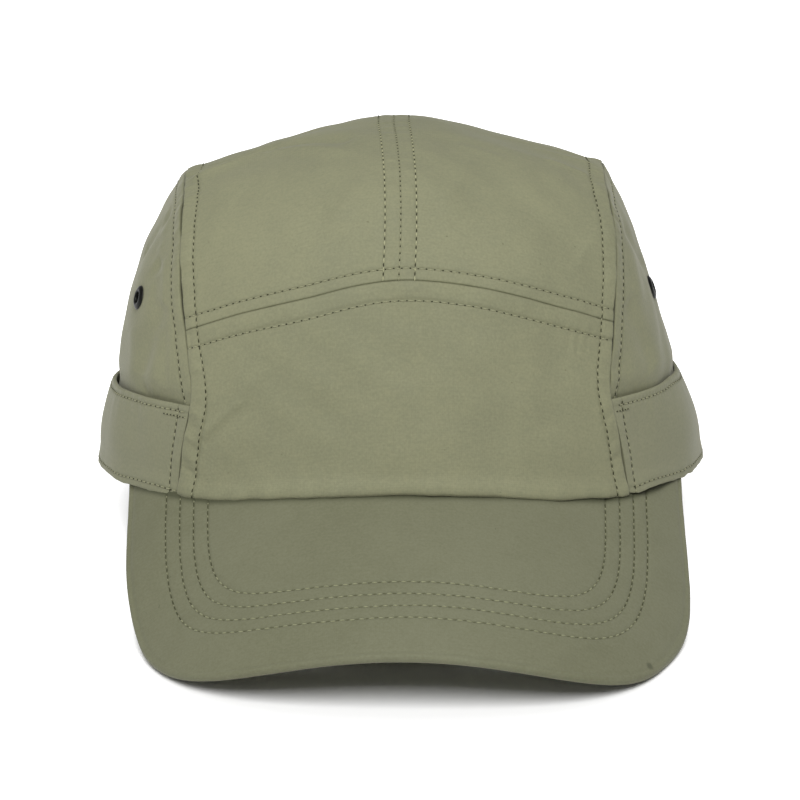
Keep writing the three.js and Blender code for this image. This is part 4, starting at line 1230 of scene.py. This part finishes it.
# %% Sew the band
BAR_TACK_INSET, BAR_TACK_LEFT, BAR_TACK_RIGHT, BAR_PITCH, BAR_HOLE = 0.8, 9.0, 8.0, 1.5, 0.9
band_rows = []
around = np.linspace(0.004, 0.996, 2400)
for name, height in (("hem", HEM_ROW), ("lip", LIP_ROW)):
    line = band_surface(around, np.full(len(around), height), np.ones(len(around)), PROUD)[0]
    band_rows.append(sew(f"band_{name}_row", line, BAND_PITCH, SHORT_HOLE))
heights = np.linspace(0.8, BAND_HEIGHT - 0.5, 300)
for name, end in (("left", 0.0), ("right", 1.0)):
    station = np.abs(end - end_row_offset(end, heights) / BAND_RUN)
    line = band_surface(station, heights, np.ones(300), PROUD)[0]
    band_rows.append(sew(f"band_end_row_{name}", line, SIDE_PITCH, LONG_HOLE))
heights = np.full(60, HEM_ROW - BAR_TACK_DROP)
for name, start, end in (("left", BAR_TACK_INSET, BAR_TACK_LEFT),
                         ("right", BAND_RUN - BAR_TACK_RIGHT, BAND_RUN - BAR_TACK_INSET)):
    line = band_surface(np.linspace(start, end, 60) / BAND_RUN, heights, np.ones(60), PROUD)[0]
    band_rows.append(sew(f"bar_tack_{name}", line, BAR_PITCH, BAR_HOLE))
join_rows("band_stitches", band_rows)

# %% Sew the peak
# A row starts just in front of the rim. Along the front edge of the peak its stitches look
# fainter, so that stretch has a lighter thread, a painted highlight, and fainter painted shade in
# its needle holes. It begins further back in each row inwards.
ROW_START, FRONT_STRETCH, FRONT_STRETCH_STEP = 0.8, 34, 4
sewn_rows = []
for number, curve in enumerate(peak_rows):
    shown = curve[curve[:, 1] > rim_forward(curve[:, 0], 0) + ROW_START]
    line = peak_surface(shown[:, 0], shown[:, 1], PROUD)[0]
    front = np.flatnonzero(shown[:, 1] > FRONT_STRETCH - FRONT_STRETCH_STEP * number)
    first, last = front[0], front[-1]
    for part, hole, thread_and_hole_shade in ((line[:first + 1], PEAK_SIDE_HOLE, PEAK_THREAD_AND_SHADE),
                                 (line[first:last + 1], LONG_HOLE, PEAK_FRONT_THREAD_AND_SHADE),
                                 (line[last:], PEAK_SIDE_HOLE, PEAK_THREAD_AND_SHADE)):
        sewn_rows.append(sew(f"peak_row_{number}", part, PEAK_PITCH_ROW, hole, thread_and_hole_shade))
join_rows("peak_stitches", sewn_rows)

# %% [markdown]
# ## Eyelets
# An eyelet is a brass ring, blackened, with a flange on each side of the cloth and an open
# barrel between them. Its section starts as a small circle, is drawn to the section's shape,
# and a spin carries it once round the hole.

# %% Eyelets
def eyelet(side, name):
    """The ring's section goes from the outer mouth of the barrel round both flanges."""
    seat_along, seat_up = eyelet_seat(side)

    def cloth_at(along_by, up_by):
        """The cloth's outer face a little way from the middle of the eyelet."""
        place = np.array([seat_along + along_by]), np.array([seat_up + up_by])
        return side_surface(side, *place)[0][0]

    middle = cloth_at(0, 0)
    along_way = cloth_at(0.05, 0) - cloth_at(-0.05, 0)
    up_way = cloth_at(0, 0.015) - cloth_at(0, -0.015)
    normal = Vector(np.cross(along_way, up_way)).normalized()
    if normal.x * side < 0:
        normal.negate()
    bpy.ops.object.select_all(action="DESELECT")
    bpy.ops.mesh.primitive_circle_add(vertices=16, radius=1, fill_type="NOTHING")
    ring = bpy.context.object
    ring.name = f"eyelet_{name}_ring"
    bore, rim = EYELET_HOLE / 2, EYELET_DIAMETER / 2
    barrel = bore + EYELET_WALL
    high, low, top, under = 0.15, -CLOTH - 0.15, 0.95, -CLOTH - 0.75
    section = [
        (bore, high + 0.1), (bore + 0.12, top - 0.2), (bore + 0.4, top), (bore + 0.9, top - 0.02),
        (rim - 0.5, top - 0.3), (rim - 0.1, high + 0.2), (rim, high), (barrel + 0.3, high),
        (barrel, high - 0.2), (barrel, low + 0.2), (barrel + 0.3, low), (rim, low),
        (rim - 0.1, low - 0.2), (rim - 0.6, under), (bore + 0.3, under), (bore, under + 0.3),
    ]
    for vertex, (out, rise) in zip(ring.data.vertices, section):
        vertex.co = (out / 1000, 0, rise / 1000)
    bpy.ops.object.mode_set(mode="EDIT")
    bpy.ops.mesh.select_all(action="SELECT")
    bpy.ops.mesh.spin(steps=40, angle=2 * math.pi, center=(0, 0, 0), axis=(0, 0, 1))
    bpy.ops.mesh.select_all(action="SELECT")
    bpy.ops.mesh.remove_doubles(threshold=1e-6)
    bpy.ops.mesh.normals_make_consistent(inside=False)
    bpy.ops.object.mode_set(mode="OBJECT")
    ring.rotation_mode = "QUATERNION"
    ring.rotation_quaternion = Vector((0, 0, 1)).rotation_difference(normal)
    ring.location = middle
    bpy.ops.object.transform_apply(location=True, rotation=True, scale=True)
    bpy.ops.object.shade_smooth_by_angle(angle=math.radians(40))
    hand_in(ring, [f"eyelet_{name}"], eyelet_finish)
    low_corner, high_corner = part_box(f"eyelet_{name}")
    print("eyelet", name, "off its place by",
          round((Vector(middle) - (low_corner + high_corner) / 2).length * 1000, 2), "mm")


for side, name in ((-1, "left"), (1, "right")):
    eyelet(side, name)
